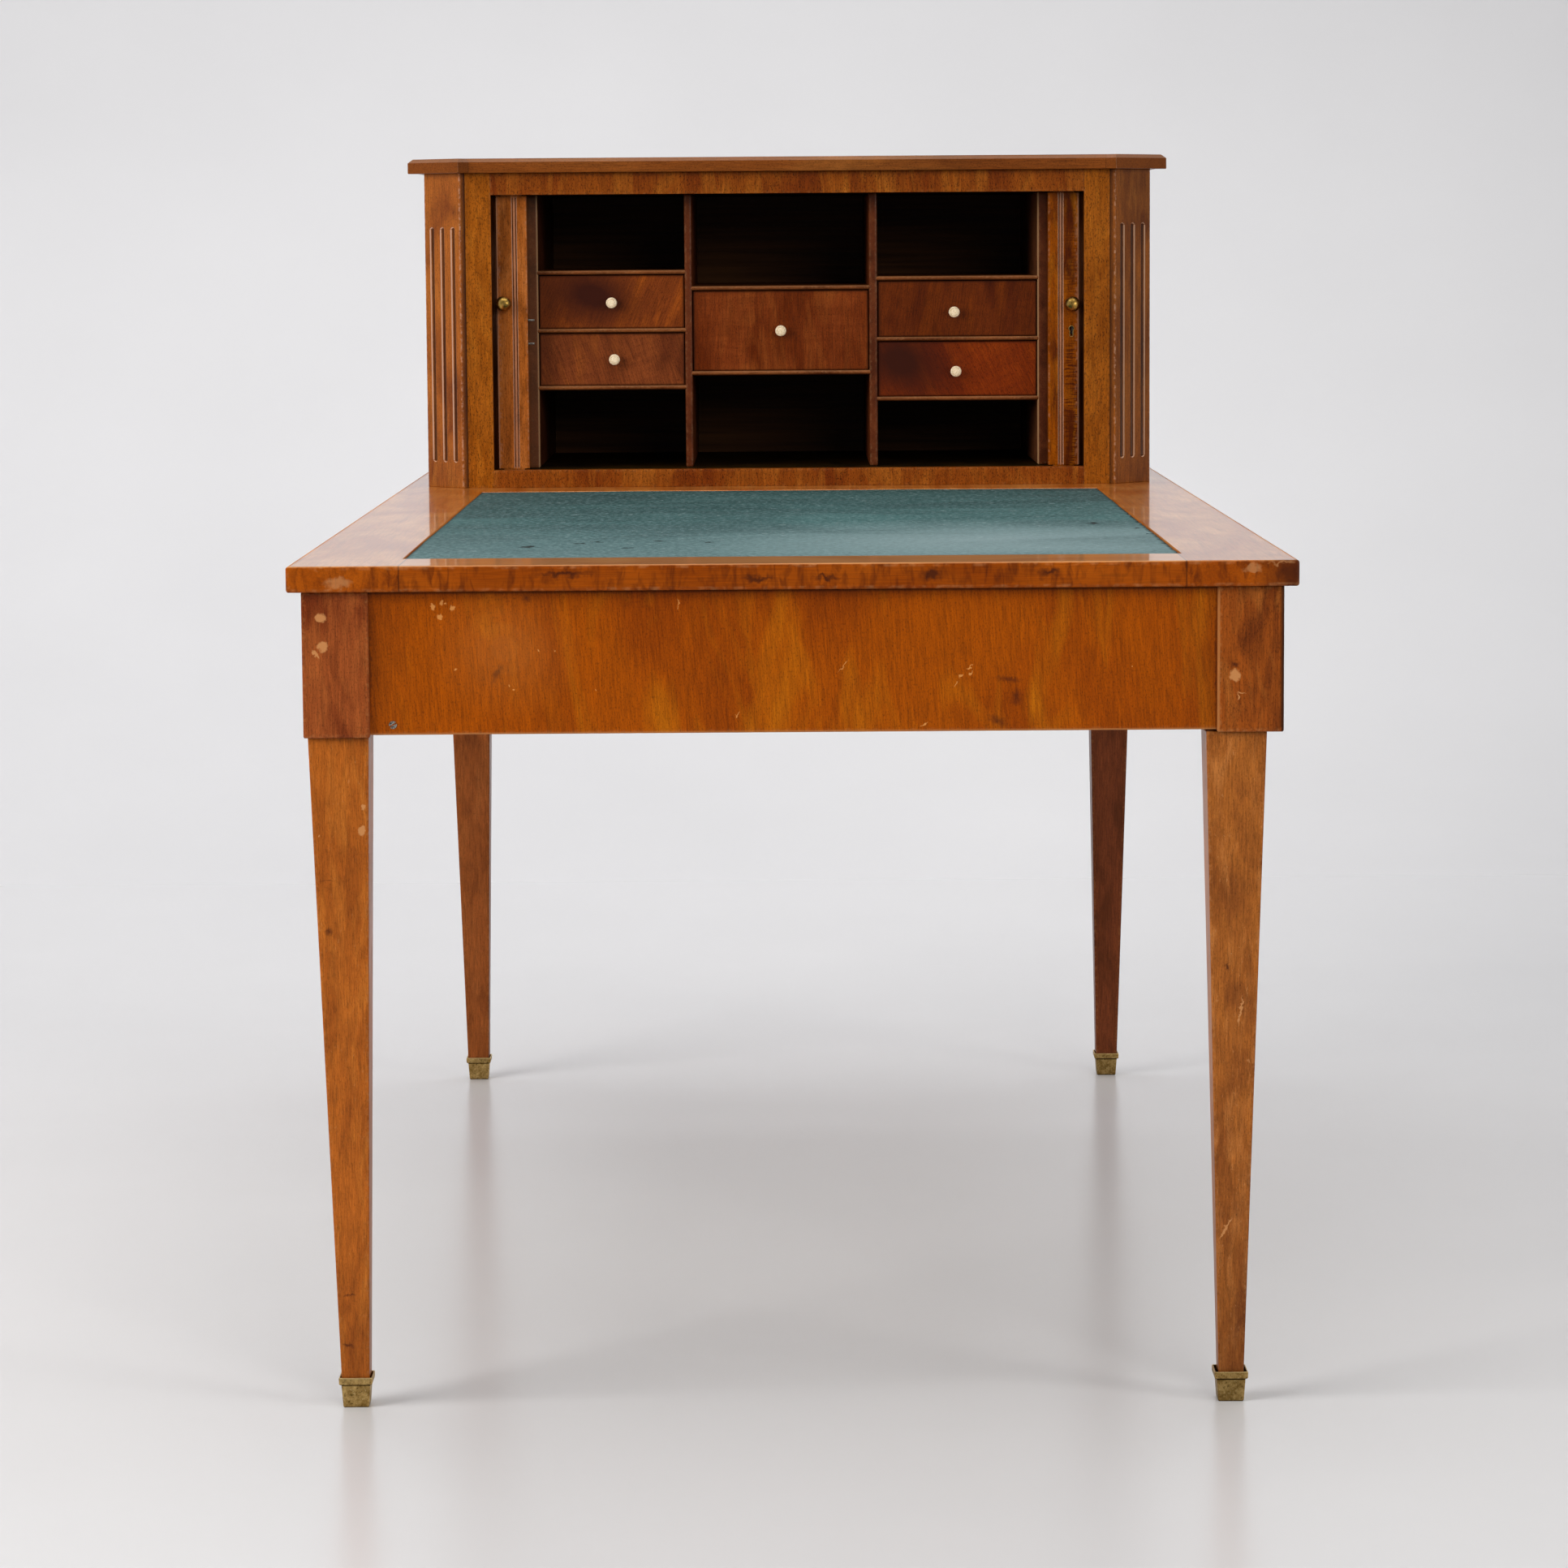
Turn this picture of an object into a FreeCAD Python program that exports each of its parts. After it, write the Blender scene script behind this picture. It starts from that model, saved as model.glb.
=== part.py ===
# A long mahogany writing table with a roll-front cabinet standing on its far end.
# Millimetres. The origin is on the floor under the middle of the table:
# X runs across the table, Y along it from the near end to the cabinet's end, Z up.
import FreeCAD, Part
import math
import os

# Writing table
table_length = 1800.0
table_width = 892.0
table_height = 765.0
top_thickness = 23.0
top_overhang = 12.0
top_edge_round = 2.5
border_width = 97.0
far_board_width = 569.0
leather_thickness = 1.5
leather_sink = 0.3

# Frieze: corner posts, aprons tenoned into them, rails across
frieze_height = 130.0
post_width = 59.0
post_edge_round = 2.0
apron_thickness = 22.0
apron_recess = 6.0
apron_rise = 2.0
tenon_length = 20.0
tenon_thickness = 9.0
tenon_shoulder = 16.0
cross_rail_thickness = 24.0
cross_rail_height = 86.0
cross_rail_count = 3
screw_from_post = 20.0
screw_above_edge = 9.0
screw_head_radius = 3.6
screw_head_height = 2.2
screw_slot_width = 1.0
screw_slot_depth = 0.8
screw_shank_radius = 2.0
screw_shank_length = 30.0

# Legs and their brass shoes
leg_top_width = 54.0
leg_foot_width = 26.0
near_left_foot_width = 25.2
near_right_foot_width = 22.8
leg_inset = 8.5
near_left_leg_inset = 3.0
near_right_leg_inset = 14.0
leg_foot_shift = 4.0
near_right_foot_shift = 1.0
spigot_inset = 35.5
spigot_radius = 12.0
spigot_length = 70.0
foot_tenon_width = 18.0
sabot_height = 28.0
sabot_collar_height = 6.5
sabot_collar_width = 30.4
sabot_body_width = 26.2
sabot_foot_width = 23.2
sabot_floor = 6.0

# Cabinet carcass
cabinet_inset = 33.0
cabinet_depth = 453.0
cabinet_setback = 27.0
carcass_height = 360.0
side_thickness = 14.0
back_thickness = 10.0
floor_thickness = 20.0
ceiling_thickness = 25.0
front_thickness = 20.0
stile_width = 29.5
corner_cut = 43.5
pilaster_proud = 8.0
flute_count = 3
flute_pitch = 18.0
flute_radius = 3.8
flute_depth = 2.8
flute_foot = 29.0
flute_length = 270.0
cornice_thickness = 16.5
cornice_overhang = 13.0
cornice_bevel = 4.0

# Nest of pigeonholes and small drawers
nest_setback = 50.0
nest_inset = 51.0
nest_side_thickness = 16.0
shelf_thickness = 5.0
shelf_edge_round = 2.2
left_column_share = 0.2933
divider_left_thickness = 8.5
right_column_share = 0.3209
divider_right_thickness = 9.5
left_low_hole = 90.0
left_low_drawer = 61.0
left_high_drawer = 62.0
centre_low_hole = 106.0
centre_drawer = 93.0
right_low_hole = 75.0
right_low_drawer = 64.0
right_high_drawer = 65.0

# Small drawers
drawer_gap = 0.8
drawer_front_setback = 4.0
drawer_front_thickness = 10.0
drawer_back_room = 29.0
drawer_side_thickness = 6.0
drawer_bottom_thickness = 4.0
drawer_side_drop = 5.0
bone_knob_radius = 6.8
bone_knob_length = 8.0
bone_neck_radius = 3.4
bone_neck_length = 3.0
bone_tenon_radius = 2.4

# How far each small drawer's knob stands off the middle of its front, across and up
knob_shifts = {
    "left_low": (2.8, 0.0),
    "left_high": (0.0, -1.0),
    "centre": (0.0, 0.0),
    "right_low": (-1.9, -2.8),
    "right_high": (-3.8, -3.8),
}

# Roll fronts: a lead rail and a curtain of slats glued to canvas, at each side
roll_gap = 1.5
slat_pitch = 14.0
slat_joint = 0.6
slat_thickness = 8.0
slat_edge_cut = 2.0
slat_side_gap = 2.0
canvas_thickness = 0.8
corner_radius = 40.0
groove_depth = 5.0
groove_margin = 0.8
end_gap = 1.0
rail_width = 35.5
rail_thickness = 14.0
rail_rest_gap = 4.5
rail_tongue_width = 24.0
bead_channel_width = 4.8
bead_channel_depth = 1.4
bead_radius = 1.6
bead_from_edge = 14.4
roll_knob_radius = 9.1
roll_knob_neck_radius = 4.0
roll_knob_neck_length = 4.0
roll_knob_tenon_radius = 2.6
roll_knob_from_edge = 8.8
left_roll_knob_height = 211.0
right_roll_knob_height = 206.0

# Lock in the right lead rail and its two pins on the left one
lock_height = 178.0
lock_case_width = 26.0
lock_case_height = 46.0
lock_case_depth = 9.0
lock_case_wall = 1.5
lock_from_edge = 3.0
bolt_width = 6.0
bolt_height = 18.0
strike_plate_width = 9.0
strike_plate_height = 42.0
strike_plate_thickness = 1.5
strike_pin_radius = 1.4
strike_pin_length = 7.0
strike_pin_spacing = 27.0
pin_play = 0.6
keyhole_radius = 2.6
keyhole_slot_width = 3.0
keyhole_slot_length = 9.0

# Room between glued pieces, and the overrun of every cut
fit_clearance = 0.2
overrun = 5.0

# Worked out from the sizes above
half_width = table_width / 2
near_edge = -table_length / 2
far_edge = table_length / 2
top_underside = table_height - top_thickness
frieze_bottom = top_underside - frieze_height
post_half_width = half_width - top_overhang
post_near = near_edge + top_overhang
post_far = far_edge - top_overhang
cabinet_half = half_width - cabinet_inset
cabinet_back_face = far_edge - cabinet_setback
cabinet_front = cabinet_back_face - cabinet_depth
carcass_top = table_height + carcass_height
hollow_bottom = table_height + floor_thickness
hollow_top = carcass_top - ceiling_thickness
front_inner = cabinet_front + front_thickness
back_inner = cabinet_back_face - back_thickness
side_inner = cabinet_half - side_thickness
stile_outer = cabinet_half - corner_cut
opening_half = stile_outer - stile_width
nest_half_width = opening_half - nest_inset
nest_front = cabinet_front + nest_setback
roll_face = front_inner + roll_gap
canvas_face = roll_face + slat_thickness
canvas_side = side_inner - slat_side_gap - slat_thickness
rail_outer = opening_half - rail_rest_gap
rail_inner = rail_outer - rail_width
rail_back = roll_face + rail_thickness
slat_count = math.ceil(rail_inner / slat_pitch)
lock_level = table_height + lock_height
left, right = -1, 1


def save(node, *solids):
    """Write one piece, or a group of like pieces, as parts/NODE.step."""
    shape = solids[0] if len(solids) == 1 else Part.makeCompound(list(solids))
    shape.exportStep("parts/" + node + ".step")


def block(x0, x1, y0, y1, z0, z1):
    """A box between three pairs of coordinates, given in either order."""
    size = (abs(x1 - x0), abs(y1 - y0), abs(z1 - z0))
    corner = FreeCAD.Vector(min(x0, x1), min(y0, y1), min(z0, z1))
    return Part.makeBox(*size, corner)


def prism(outline, z0, z1):
    """An outline of (x, y) points raised from z0 to z1."""
    points = [FreeCAD.Vector(x, y, z0) for x, y in outline]
    wire = Part.makePolygon(points + points[:1])
    return Part.Face(wire).extrude(FreeCAD.Vector(0, 0, z1 - z0))


def mirrored(outline, side):
    """An outline drawn for the right-hand side, on the side asked for."""
    return [(side * x, y) for x, y in outline]


def rod(radius, start, end):
    """A round rod from one point to another."""
    a, b = FreeCAD.Vector(*start), FreeCAD.Vector(*end)
    return Part.makeCylinder(radius, (b - a).Length, a, b - a)


def tapered_square(low_width, high_width, low_centre, high_centre, z0, z1):
    """A four-sided taper between two level squares."""
    wires = []
    for width, (x, y), z in ((low_width, low_centre, z0), (high_width, high_centre, z1)):
        half = width / 2
        corners = ((x - half, y - half), (x + half, y - half), (x + half, y + half), (x - half, y + half))
        points = [FreeCAD.Vector(a, b, z) for a, b in corners]
        wires.append(Part.makePolygon(points + points[:1]))
    return Part.makeLoft(wires, True, True)


def edges_along(shape, axis, test):
    """The straight edges that run along one axis and whose middle passes the test."""
    found = []
    for edge in shape.Edges:
        a, b = edge.Vertexes[0].Point, edge.Vertexes[-1].Point
        run = b - a
        if run.Length > 0 and abs(abs(run[axis]) - run.Length) < Part.Precision.approximation():
            if test((a + b) / 2):
                found.append(edge)
    return found


def near_to(a, b):
    """Whether two coordinates are the same place."""
    return abs(a - b) < Part.Precision.approximation()


# Table top

def whole_top():
    """The top as one slab with rounded outer edges, before it is parted into boards."""
    slab = block(-half_width, half_width, near_edge, far_edge, top_underside, table_height)
    rims = edges_along(slab, 0, lambda p: near_to(abs(p.y), far_edge))
    rims += edges_along(slab, 1, lambda p: near_to(abs(p.x), half_width))
    return slab.makeFillet(top_edge_round, rims)


def build_top():
    """Border boards round a sunk core, and the leather laid on the core."""
    slab = whole_top()
    inside = half_width - border_width
    leather_near = near_edge + border_width
    leather_far = far_edge - far_board_width
    below, above = top_underside - overrun, table_height + overrun
    out = half_width + overrun
    save("top_border_near", slab.common(block(-out, out, near_edge - overrun, leather_near, below, above)))
    save("top_far_board", slab.common(block(-out, out, leather_far, far_edge + overrun, below, above)))
    for name, side in (("left", left), ("right", right)):
        strip = block(side * inside, side * out, leather_near, leather_far, below, above)
        save("top_border_" + name, slab.common(strip))
    core_top = table_height - leather_sink - leather_thickness
    save("top_core", block(-inside, inside, leather_near, leather_far, top_underside, core_top))
    edge = inside - fit_clearance
    leather = block(-edge, edge, leather_near + fit_clearance, leather_far - fit_clearance,
                    core_top, core_top + leather_thickness)
    save("writing_leather", leather)


# Legs, shoes and frieze

def corner(side, end):
    """Outer corner of a post, and the way from it towards the middle of the table, at one corner."""
    y = post_near if end == "near" else post_far
    inward = 1 if end == "near" else -1
    return side * post_half_width, y, -side, inward


def leg_centres(side, end):
    """Middle of a leg at its top and at its foot. The two near legs stand unevenly under their posts."""
    x, y, in_x, in_y = corner(side, end)
    inset_x, shift_x = leg_inset, leg_foot_shift
    if end == "near":
        inset_x = near_left_leg_inset if side == left else near_right_leg_inset
        shift_x = leg_foot_shift if side == left else near_right_foot_shift
    half = leg_top_width / 2
    top = (x + in_x * (inset_x + half), y + in_y * (leg_inset + half))
    foot = (top[0] + in_x * shift_x, top[1] + in_y * leg_foot_shift)
    return top, foot


def foot_width(side, end):
    """Width of a leg where it enters its shoe. The two near legs are planed slimmer."""
    if end == "far":
        return leg_foot_width
    return near_left_foot_width if side == left else near_right_foot_width


def spigot_centre(side, end):
    """Middle of the round spigot that joins a leg to its post."""
    x, y, in_x, in_y = corner(side, end)
    return x + in_x * spigot_inset, y + in_y * spigot_inset


def tenon_band():
    """Lower and upper level of the apron tenons."""
    return frieze_bottom + apron_rise + tenon_shoulder, top_underside - tenon_shoulder


def build_post(name, side, end):
    """A square corner post with two mortises and a bore for the leg's spigot."""
    x, y, in_x, in_y = corner(side, end)
    far_x, far_y = x + in_x * post_width, y + in_y * post_width
    post = block(x, far_x, y, far_y, frieze_bottom, top_underside)
    outer_edge = edges_along(post, 2, lambda p: near_to(p.x, x) and near_to(p.y, y))
    post = post.makeFillet(post_edge_round, outer_edge)
    low, high = tenon_band()
    low, high = low - fit_clearance, high + fit_clearance
    depth = tenon_length + fit_clearance
    start = apron_recess + (apron_thickness - tenon_thickness) / 2 - fit_clearance
    end_of = start + tenon_thickness + 2 * fit_clearance
    post = post.cut(block(far_x - in_x * depth, far_x + in_x * overrun,
                          y + in_y * start, y + in_y * end_of, low, high))
    post = post.cut(block(x + in_x * start, x + in_x * end_of,
                          far_y - in_y * depth, far_y + in_y * overrun, low, high))
    centre = spigot_centre(side, end)
    bore_top = frieze_bottom + spigot_length + fit_clearance
    bore = rod(spigot_radius + fit_clearance, (*centre, frieze_bottom - overrun), (*centre, bore_top))
    save("corner_post_" + name, post.cut(bore))


def build_leg(name, side, end):
    """A square tapered leg with a round spigot above and a square tenon in its shoe."""
    top, foot = leg_centres(side, end)
    leg = tapered_square(foot_width(side, end), leg_top_width, foot, top, sabot_height, frieze_bottom)
    centre = spigot_centre(side, end)
    leg = leg.fuse(rod(spigot_radius, (*centre, frieze_bottom), (*centre, frieze_bottom + spigot_length)))
    half = foot_tenon_width / 2
    tenon = block(foot[0] - half, foot[0] + half, foot[1] - half, foot[1] + half, sabot_floor, sabot_height)
    save("leg_" + name, leg.fuse(tenon).removeSplitter())


def build_sabot(side, end):
    """A cast shoe: a tapered cup with a square collar round its mouth."""
    _, foot = leg_centres(side, end)
    collar_bottom = sabot_height - sabot_collar_height
    cup = tapered_square(sabot_foot_width, sabot_body_width, foot, foot, 0, collar_bottom)
    half = sabot_collar_width / 2
    cup = cup.fuse(block(foot[0] - half, foot[0] + half, foot[1] - half, foot[1] + half,
                         collar_bottom, sabot_height))
    socket = foot_tenon_width / 2 + fit_clearance
    cup = cup.cut(block(foot[0] - socket, foot[0] + socket, foot[1] - socket, foot[1] + socket,
                        sabot_floor, sabot_height + overrun))
    return cup.removeSplitter()


def build_apron(name, along_x, face, inward, reach):
    """A frieze board between two posts with a tenon at each end; face is its outer surface."""
    low, high = frieze_bottom + apron_rise, top_underside
    tenon_low, tenon_high = tenon_band()
    back = face + inward * apron_thickness
    start = face + inward * (apron_thickness - tenon_thickness) / 2
    end = start + inward * tenon_thickness
    long = reach + tenon_length
    if along_x:
        board = block(-reach, reach, face, back, low, high)
        tenons = block(-long, long, start, end, tenon_low, tenon_high)
    else:
        board = block(face, back, -reach, reach, low, high)
        tenons = block(start, end, -long, long, tenon_low, tenon_high)
    board = board.fuse(tenons).removeSplitter()
    if name == "near":
        board = board.cut(screw_hole(face))
    save("apron_" + name, board)


def screw_place():
    """Where the screw stands in the near apron, across and up."""
    x = -post_half_width + post_width + screw_from_post
    return x, frieze_bottom + apron_rise + screw_above_edge


def screw_hole(face):
    """Countersink and clearance hole for the screw in the near apron."""
    x, z = screw_place()
    head = screw_head_radius + fit_clearance
    hole = rod(head, (x, face - overrun, z), (x, face + screw_head_height, z))
    shank = screw_shank_radius + fit_clearance
    return hole.fuse(rod(shank, (x, face, z), (x, face + apron_thickness + overrun, z)))


def build_screw(face):
    """A slotted steel screw driven through the near apron."""
    x, z = screw_place()
    screw = rod(screw_head_radius, (x, face, z), (x, face + screw_head_height, z))
    screw = screw.fuse(rod(screw_shank_radius, (x, face, z), (x, face + screw_shank_length, z)))
    half = screw_slot_width / 2
    slot = block(x - screw_head_radius, x + screw_head_radius,
                 face, face + screw_slot_depth, z - half, z + half)
    save("apron_screw", screw.cut(slot))


def build_frieze():
    """Four aprons and the rails that hold the long ones apart under the top."""
    reach_x = post_half_width - post_width
    reach_y = post_far - post_width
    near_face = post_near + apron_recess
    side_face = post_half_width - apron_recess
    build_apron("near", True, near_face, 1, reach_x)
    build_apron("far", True, post_far - apron_recess, -1, reach_x)
    build_apron("left", False, -side_face, 1, reach_y)
    build_apron("right", False, side_face, -1, reach_y)
    build_screw(near_face)
    span = side_face - apron_thickness
    step = 2 * reach_y / (cross_rail_count + 1)
    half = cross_rail_thickness / 2
    rails = []
    for n in range(1, cross_rail_count + 1):
        y = -reach_y + n * step
        rails.append(block(-span, span, y - half, y + half,
                           top_underside - cross_rail_height, top_underside))
    save("cross_rails", *rails)


def build_supports():
    """The four corners: post, leg and shoe."""
    for end in ("near", "far"):
        shoes = []
        for word, side in (("left", left), ("right", right)):
            build_post(end + "_" + word, side, end)
            build_leg(end + "_" + word, side, end)
            shoes.append(build_sabot(side, end))
        save("sabots_" + end, *shoes)


# Cabinet carcass

def corner_plan():
    """Points of the right-hand front corner, from the front face round to the side:
    foot of the return, the canted face's two ends, and the foot of the other return."""
    proud = pilaster_proud / math.sqrt(2)
    c = (stile_outer, cabinet_front)
    b = (stile_outer + proud, cabinet_front - proud)
    a = (cabinet_half + proud, cabinet_front + corner_cut - proud)
    d = (cabinet_half, cabinet_front + corner_cut)
    return c, b, a, d


def build_pilaster(name, side):
    """A canted corner board, proud of the carcass, with round-ended flutes."""
    c, b, a, d = corner_plan()
    outline = [c, b, a, d, (side_inner, d[1]), (stile_outer, front_inner)]
    board = prism(mirrored(outline, side), table_height, carcass_top)
    middle = FreeCAD.Vector(side * (a[0] + b[0]) / 2, (a[1] + b[1]) / 2, table_height + flute_foot)
    out = FreeCAD.Vector(side, -1, 0).normalize()
    along = FreeCAD.Vector(side, 1, 0).normalize()
    for n in range(flute_count):
        across = (n - (flute_count - 1) / 2) * flute_pitch
        foot = middle + along * across + out * (flute_radius - flute_depth)
        foot = foot + FreeCAD.Vector(0, 0, flute_radius)
        head = foot + FreeCAD.Vector(0, 0, flute_length - 2 * flute_radius)
        groove = rod(flute_radius, foot, head)
        for end in (foot, head):
            groove = groove.fuse(Part.makeSphere(flute_radius, end))
        board = board.cut(groove)
    save("pilaster_" + name, board)


def along_track(distance):
    """Point on the right-hand canvas line and its turn, at a distance beyond the lead rail."""
    cx, cy = canvas_side - corner_radius, canvas_face + corner_radius
    front_run = cx - rail_outer
    bend = corner_radius * math.pi / 2
    if distance < front_run:
        return rail_outer + distance, canvas_face, 0
    if distance < front_run + bend:
        turn = (distance - front_run) / corner_radius
        return cx + corner_radius * math.sin(turn), cy - corner_radius * math.cos(turn), turn
    return canvas_side, cy + distance - front_run - bend, math.pi / 2


def curtain_end():
    """How far back along the side the last slat reaches at rest."""
    return along_track(slat_count * slat_pitch)[1]


def track(side, low, high, start, end, z0, z1):
    """A band of the roll track between two offsets from the canvas, towards the outside:
    across the front from start, round the corner and back along the side to end."""
    cx, cy = canvas_side - corner_radius, canvas_face + corner_radius
    outer, inner = corner_radius + high, corner_radius + low
    foot = FreeCAD.Vector(side * cx, cy, z0)
    ring = Part.makeCylinder(outer, z1 - z0, foot).cut(Part.makeCylinder(inner, z1 - z0, foot))
    ring = ring.common(block(side * cx, side * (cx + outer), cy, cy - outer, z0, z1))
    front = block(side * start, side * cx, canvas_face - high, canvas_face - low, z0, z1)
    back = block(side * (canvas_side + low), side * (canvas_side + high), cy, end, z0, z1)
    return ring.fuse([front, back]).removeSplitter()


def build_floor_and_ceiling():
    """Two boards with the grooves that guide the roll fronts."""
    side_front = corner_plan()[-1][1]
    half = [(0, front_inner), (stile_outer, front_inner), (side_inner, side_front),
            (side_inner, back_inner), (0, back_inner)]
    outline = half + [(-x, y) for x, y in reversed(half) if x > 0]
    floor = prism(outline, table_height, hollow_bottom)
    ceiling = prism(outline, hollow_top, carcass_top)
    band = (-groove_margin, slat_thickness + groove_margin)
    end = curtain_end() + slat_pitch
    for side in (left, right):
        groove = track(side, *band, 0, end, hollow_bottom - groove_depth, hollow_bottom + overrun)
        floor = floor.cut(groove)
        groove = track(side, *band, 0, end, hollow_top - overrun, hollow_top + groove_depth)
        ceiling = ceiling.cut(groove)
    save("cabinet_floor", floor)
    save("cabinet_ceiling", ceiling)


def build_cornice():
    """A flat cap board that follows the canted corners, bevelled along its upper edge."""
    c, b, a, d = corner_plan()
    half = [c, b, a, d, (cabinet_half, cabinet_back_face)]
    outline = half + [(-x, y) for x, y in reversed(half)]
    points = [FreeCAD.Vector(x, y, carcass_top) for x, y in outline]
    wire = Part.makePolygon(points + points[:1])
    mitred = 2
    plan = Part.Face(wire).makeOffset2D(cornice_overhang, mitred)
    cap = plan.extrude(FreeCAD.Vector(0, 0, cornice_thickness))
    rim = [e for e in cap.Edges if near_to(e.BoundBox.ZMin, carcass_top + cornice_thickness)]
    save("cornice", cap.makeChamfer(cornice_bevel, rim))


def build_carcass():
    """Sides, back, front stiles and rails between the floor and the cornice."""
    side_front = cabinet_front + corner_cut
    stiles = []
    for name, side in (("left", left), ("right", right)):
        board = block(side * side_inner, side * cabinet_half, side_front, cabinet_back_face,
                      table_height, carcass_top)
        save("cabinet_side_" + name, board)
        build_pilaster(name, side)
        stiles.append(block(side * opening_half, side * stile_outer, cabinet_front, front_inner,
                            table_height, carcass_top))
    save("front_stiles", *stiles)
    save("front_rail_bottom", block(-opening_half, opening_half, cabinet_front, front_inner,
                                    table_height, hollow_bottom))
    save("front_rail_top", block(-opening_half, opening_half, cabinet_front, front_inner,
                                 hollow_top, carcass_top))
    save("cabinet_back", block(-side_inner, side_inner, back_inner, cabinet_back_face,
                               table_height, carcass_top))


# Nest and small drawers

def columns():
    """Left and right edge of the nest's three columns."""
    nest_width = 2 * nest_half_width
    left_end = -nest_half_width + left_column_share * nest_width
    right_start = nest_half_width - right_column_share * nest_width
    return {
        "left": (-nest_half_width, left_end),
        "centre": (left_end + divider_left_thickness, right_start - divider_right_thickness),
        "right": (right_start, nest_half_width),
    }


rows = {
    "left": (left_low_hole, left_low_drawer, left_high_drawer),
    "centre": (centre_low_hole, centre_drawer),
    "right": (right_low_hole, right_low_drawer, right_high_drawer),
}


def shelf_levels(column):
    """Underside of each shelf in a column, from the bottom up."""
    z = hollow_bottom
    levels = []
    for height in rows[column]:
        levels.append(z + height)
        z += height + shelf_thickness
    return levels


def rounded_front(board, axis):
    """A nest board with its two long front edges rounded."""
    front = edges_along(board, axis, lambda p: near_to(p.y, nest_front))
    return board.makeFillet(shelf_edge_round, front)


def build_nest():
    """Sides, dividers and shelves of the nest, from its front to the cabinet's back."""
    outer = nest_half_width + nest_side_thickness
    sides = []
    for side in (left, right):
        board = block(side * nest_half_width, side * outer, nest_front, back_inner,
                      hollow_bottom, hollow_top)
        sides.append(rounded_front(board, 2))
    save("nest_sides", *sides)
    place = columns()
    gaps = ((place["left"][1], place["centre"][0]), (place["centre"][1], place["right"][0]))
    dividers = [block(a, b, nest_front, back_inner, hollow_bottom, hollow_top) for a, b in gaps]
    save("nest_dividers", *[rounded_front(board, 2) for board in dividers])
    shelves = []
    for column, (x0, x1) in place.items():
        for z in shelf_levels(column):
            board = block(x0, x1, nest_front, back_inner, z, z + shelf_thickness)
            shelves.append(rounded_front(board, 0))
    save("nest_shelves", *shelves)


def turned(profile, x, y, z):
    """A turned piece: (radius, distance) points spun about a line along Y, out from (x, y, z)."""
    points = [FreeCAD.Vector(x + r, y - t, z) for r, t in profile]
    wire = Part.makePolygon(points + points[:1])
    return Part.Face(wire).revolve(FreeCAD.Vector(x, y, z), FreeCAD.Vector(0, 1, 0), 360)


def bone_knob(x, y, z):
    """A turned bone button on a neck, with a tenon through the drawer front."""
    crown = bone_knob_radius / 3
    lip = bone_neck_length + bone_knob_length - crown
    top = bone_neck_length + bone_knob_length
    profile = (
        (0, -drawer_front_thickness),
        (bone_tenon_radius, -drawer_front_thickness),
        (bone_tenon_radius, 0),
        (bone_neck_radius, 0),
        (bone_neck_radius, bone_neck_length),
        (bone_knob_radius, bone_neck_length + crown),
        (bone_knob_radius, lip),
        (bone_knob_radius - crown, top),
        (0, top),
    )
    return turned(profile, x, y, z)


def build_drawer(name, x0, x1, z0, z1, knob_shift):
    """A small drawer in its opening: front, a box of four boards, and a knob."""
    x0, x1, z1 = x0 + drawer_gap, x1 - drawer_gap, z1 - drawer_gap
    y = nest_front + drawer_front_setback
    y_box = y + drawer_front_thickness
    y_end = back_inner - drawer_back_room
    middle, level = (x0 + x1) / 2 + knob_shift[0], (z0 + z1) / 2 + knob_shift[1]
    hole = rod(bone_tenon_radius + fit_clearance,
               (middle, y - overrun, level), (middle, y_box + overrun, level))
    save(name + "_front", block(x0, x1, y, y_box, z0, z1).cut(hole))
    rim = z1 - drawer_side_drop
    side_a = block(x0, x0 + drawer_side_thickness, y_box, y_end, z0, rim)
    side_b = block(x1 - drawer_side_thickness, x1, y_box, y_end, z0, rim)
    inner0, inner1 = x0 + drawer_side_thickness, x1 - drawer_side_thickness
    y_back = y_end - drawer_side_thickness
    bottom = block(inner0, inner1, y_box, y_end, z0, z0 + drawer_bottom_thickness)
    back = block(inner0, inner1, y_back, y_end, z0 + drawer_bottom_thickness, rim)
    save(name + "_box", side_a, side_b, bottom, back)
    save(name + "_knob", bone_knob(middle, y, level))


def build_drawers():
    """Every drawer opening of the nest gets its drawer."""
    names = {
        "left": ("left_low", "left_high"),
        "centre": ("centre",),
        "right": ("right_low", "right_high"),
    }
    place = columns()
    for column, labels in names.items():
        levels = shelf_levels(column)
        x0, x1 = place[column]
        for label, below, above in zip(labels, levels, levels[1:]):
            build_drawer("drawer_" + label, x0, x1, below + shelf_thickness, above, knob_shifts[label])


# Roll fronts and lock

def slat_outline():
    """Plan of one slat about the middle of its canvas side: flat back, cut front corners."""
    half = (slat_pitch - slat_joint) / 2
    shoulder = slat_thickness - slat_edge_cut
    return [(-half, 0), (half, 0), (half, shoulder), (half - slat_edge_cut, slat_thickness),
            (-half + slat_edge_cut, slat_thickness), (-half, shoulder)]


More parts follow.
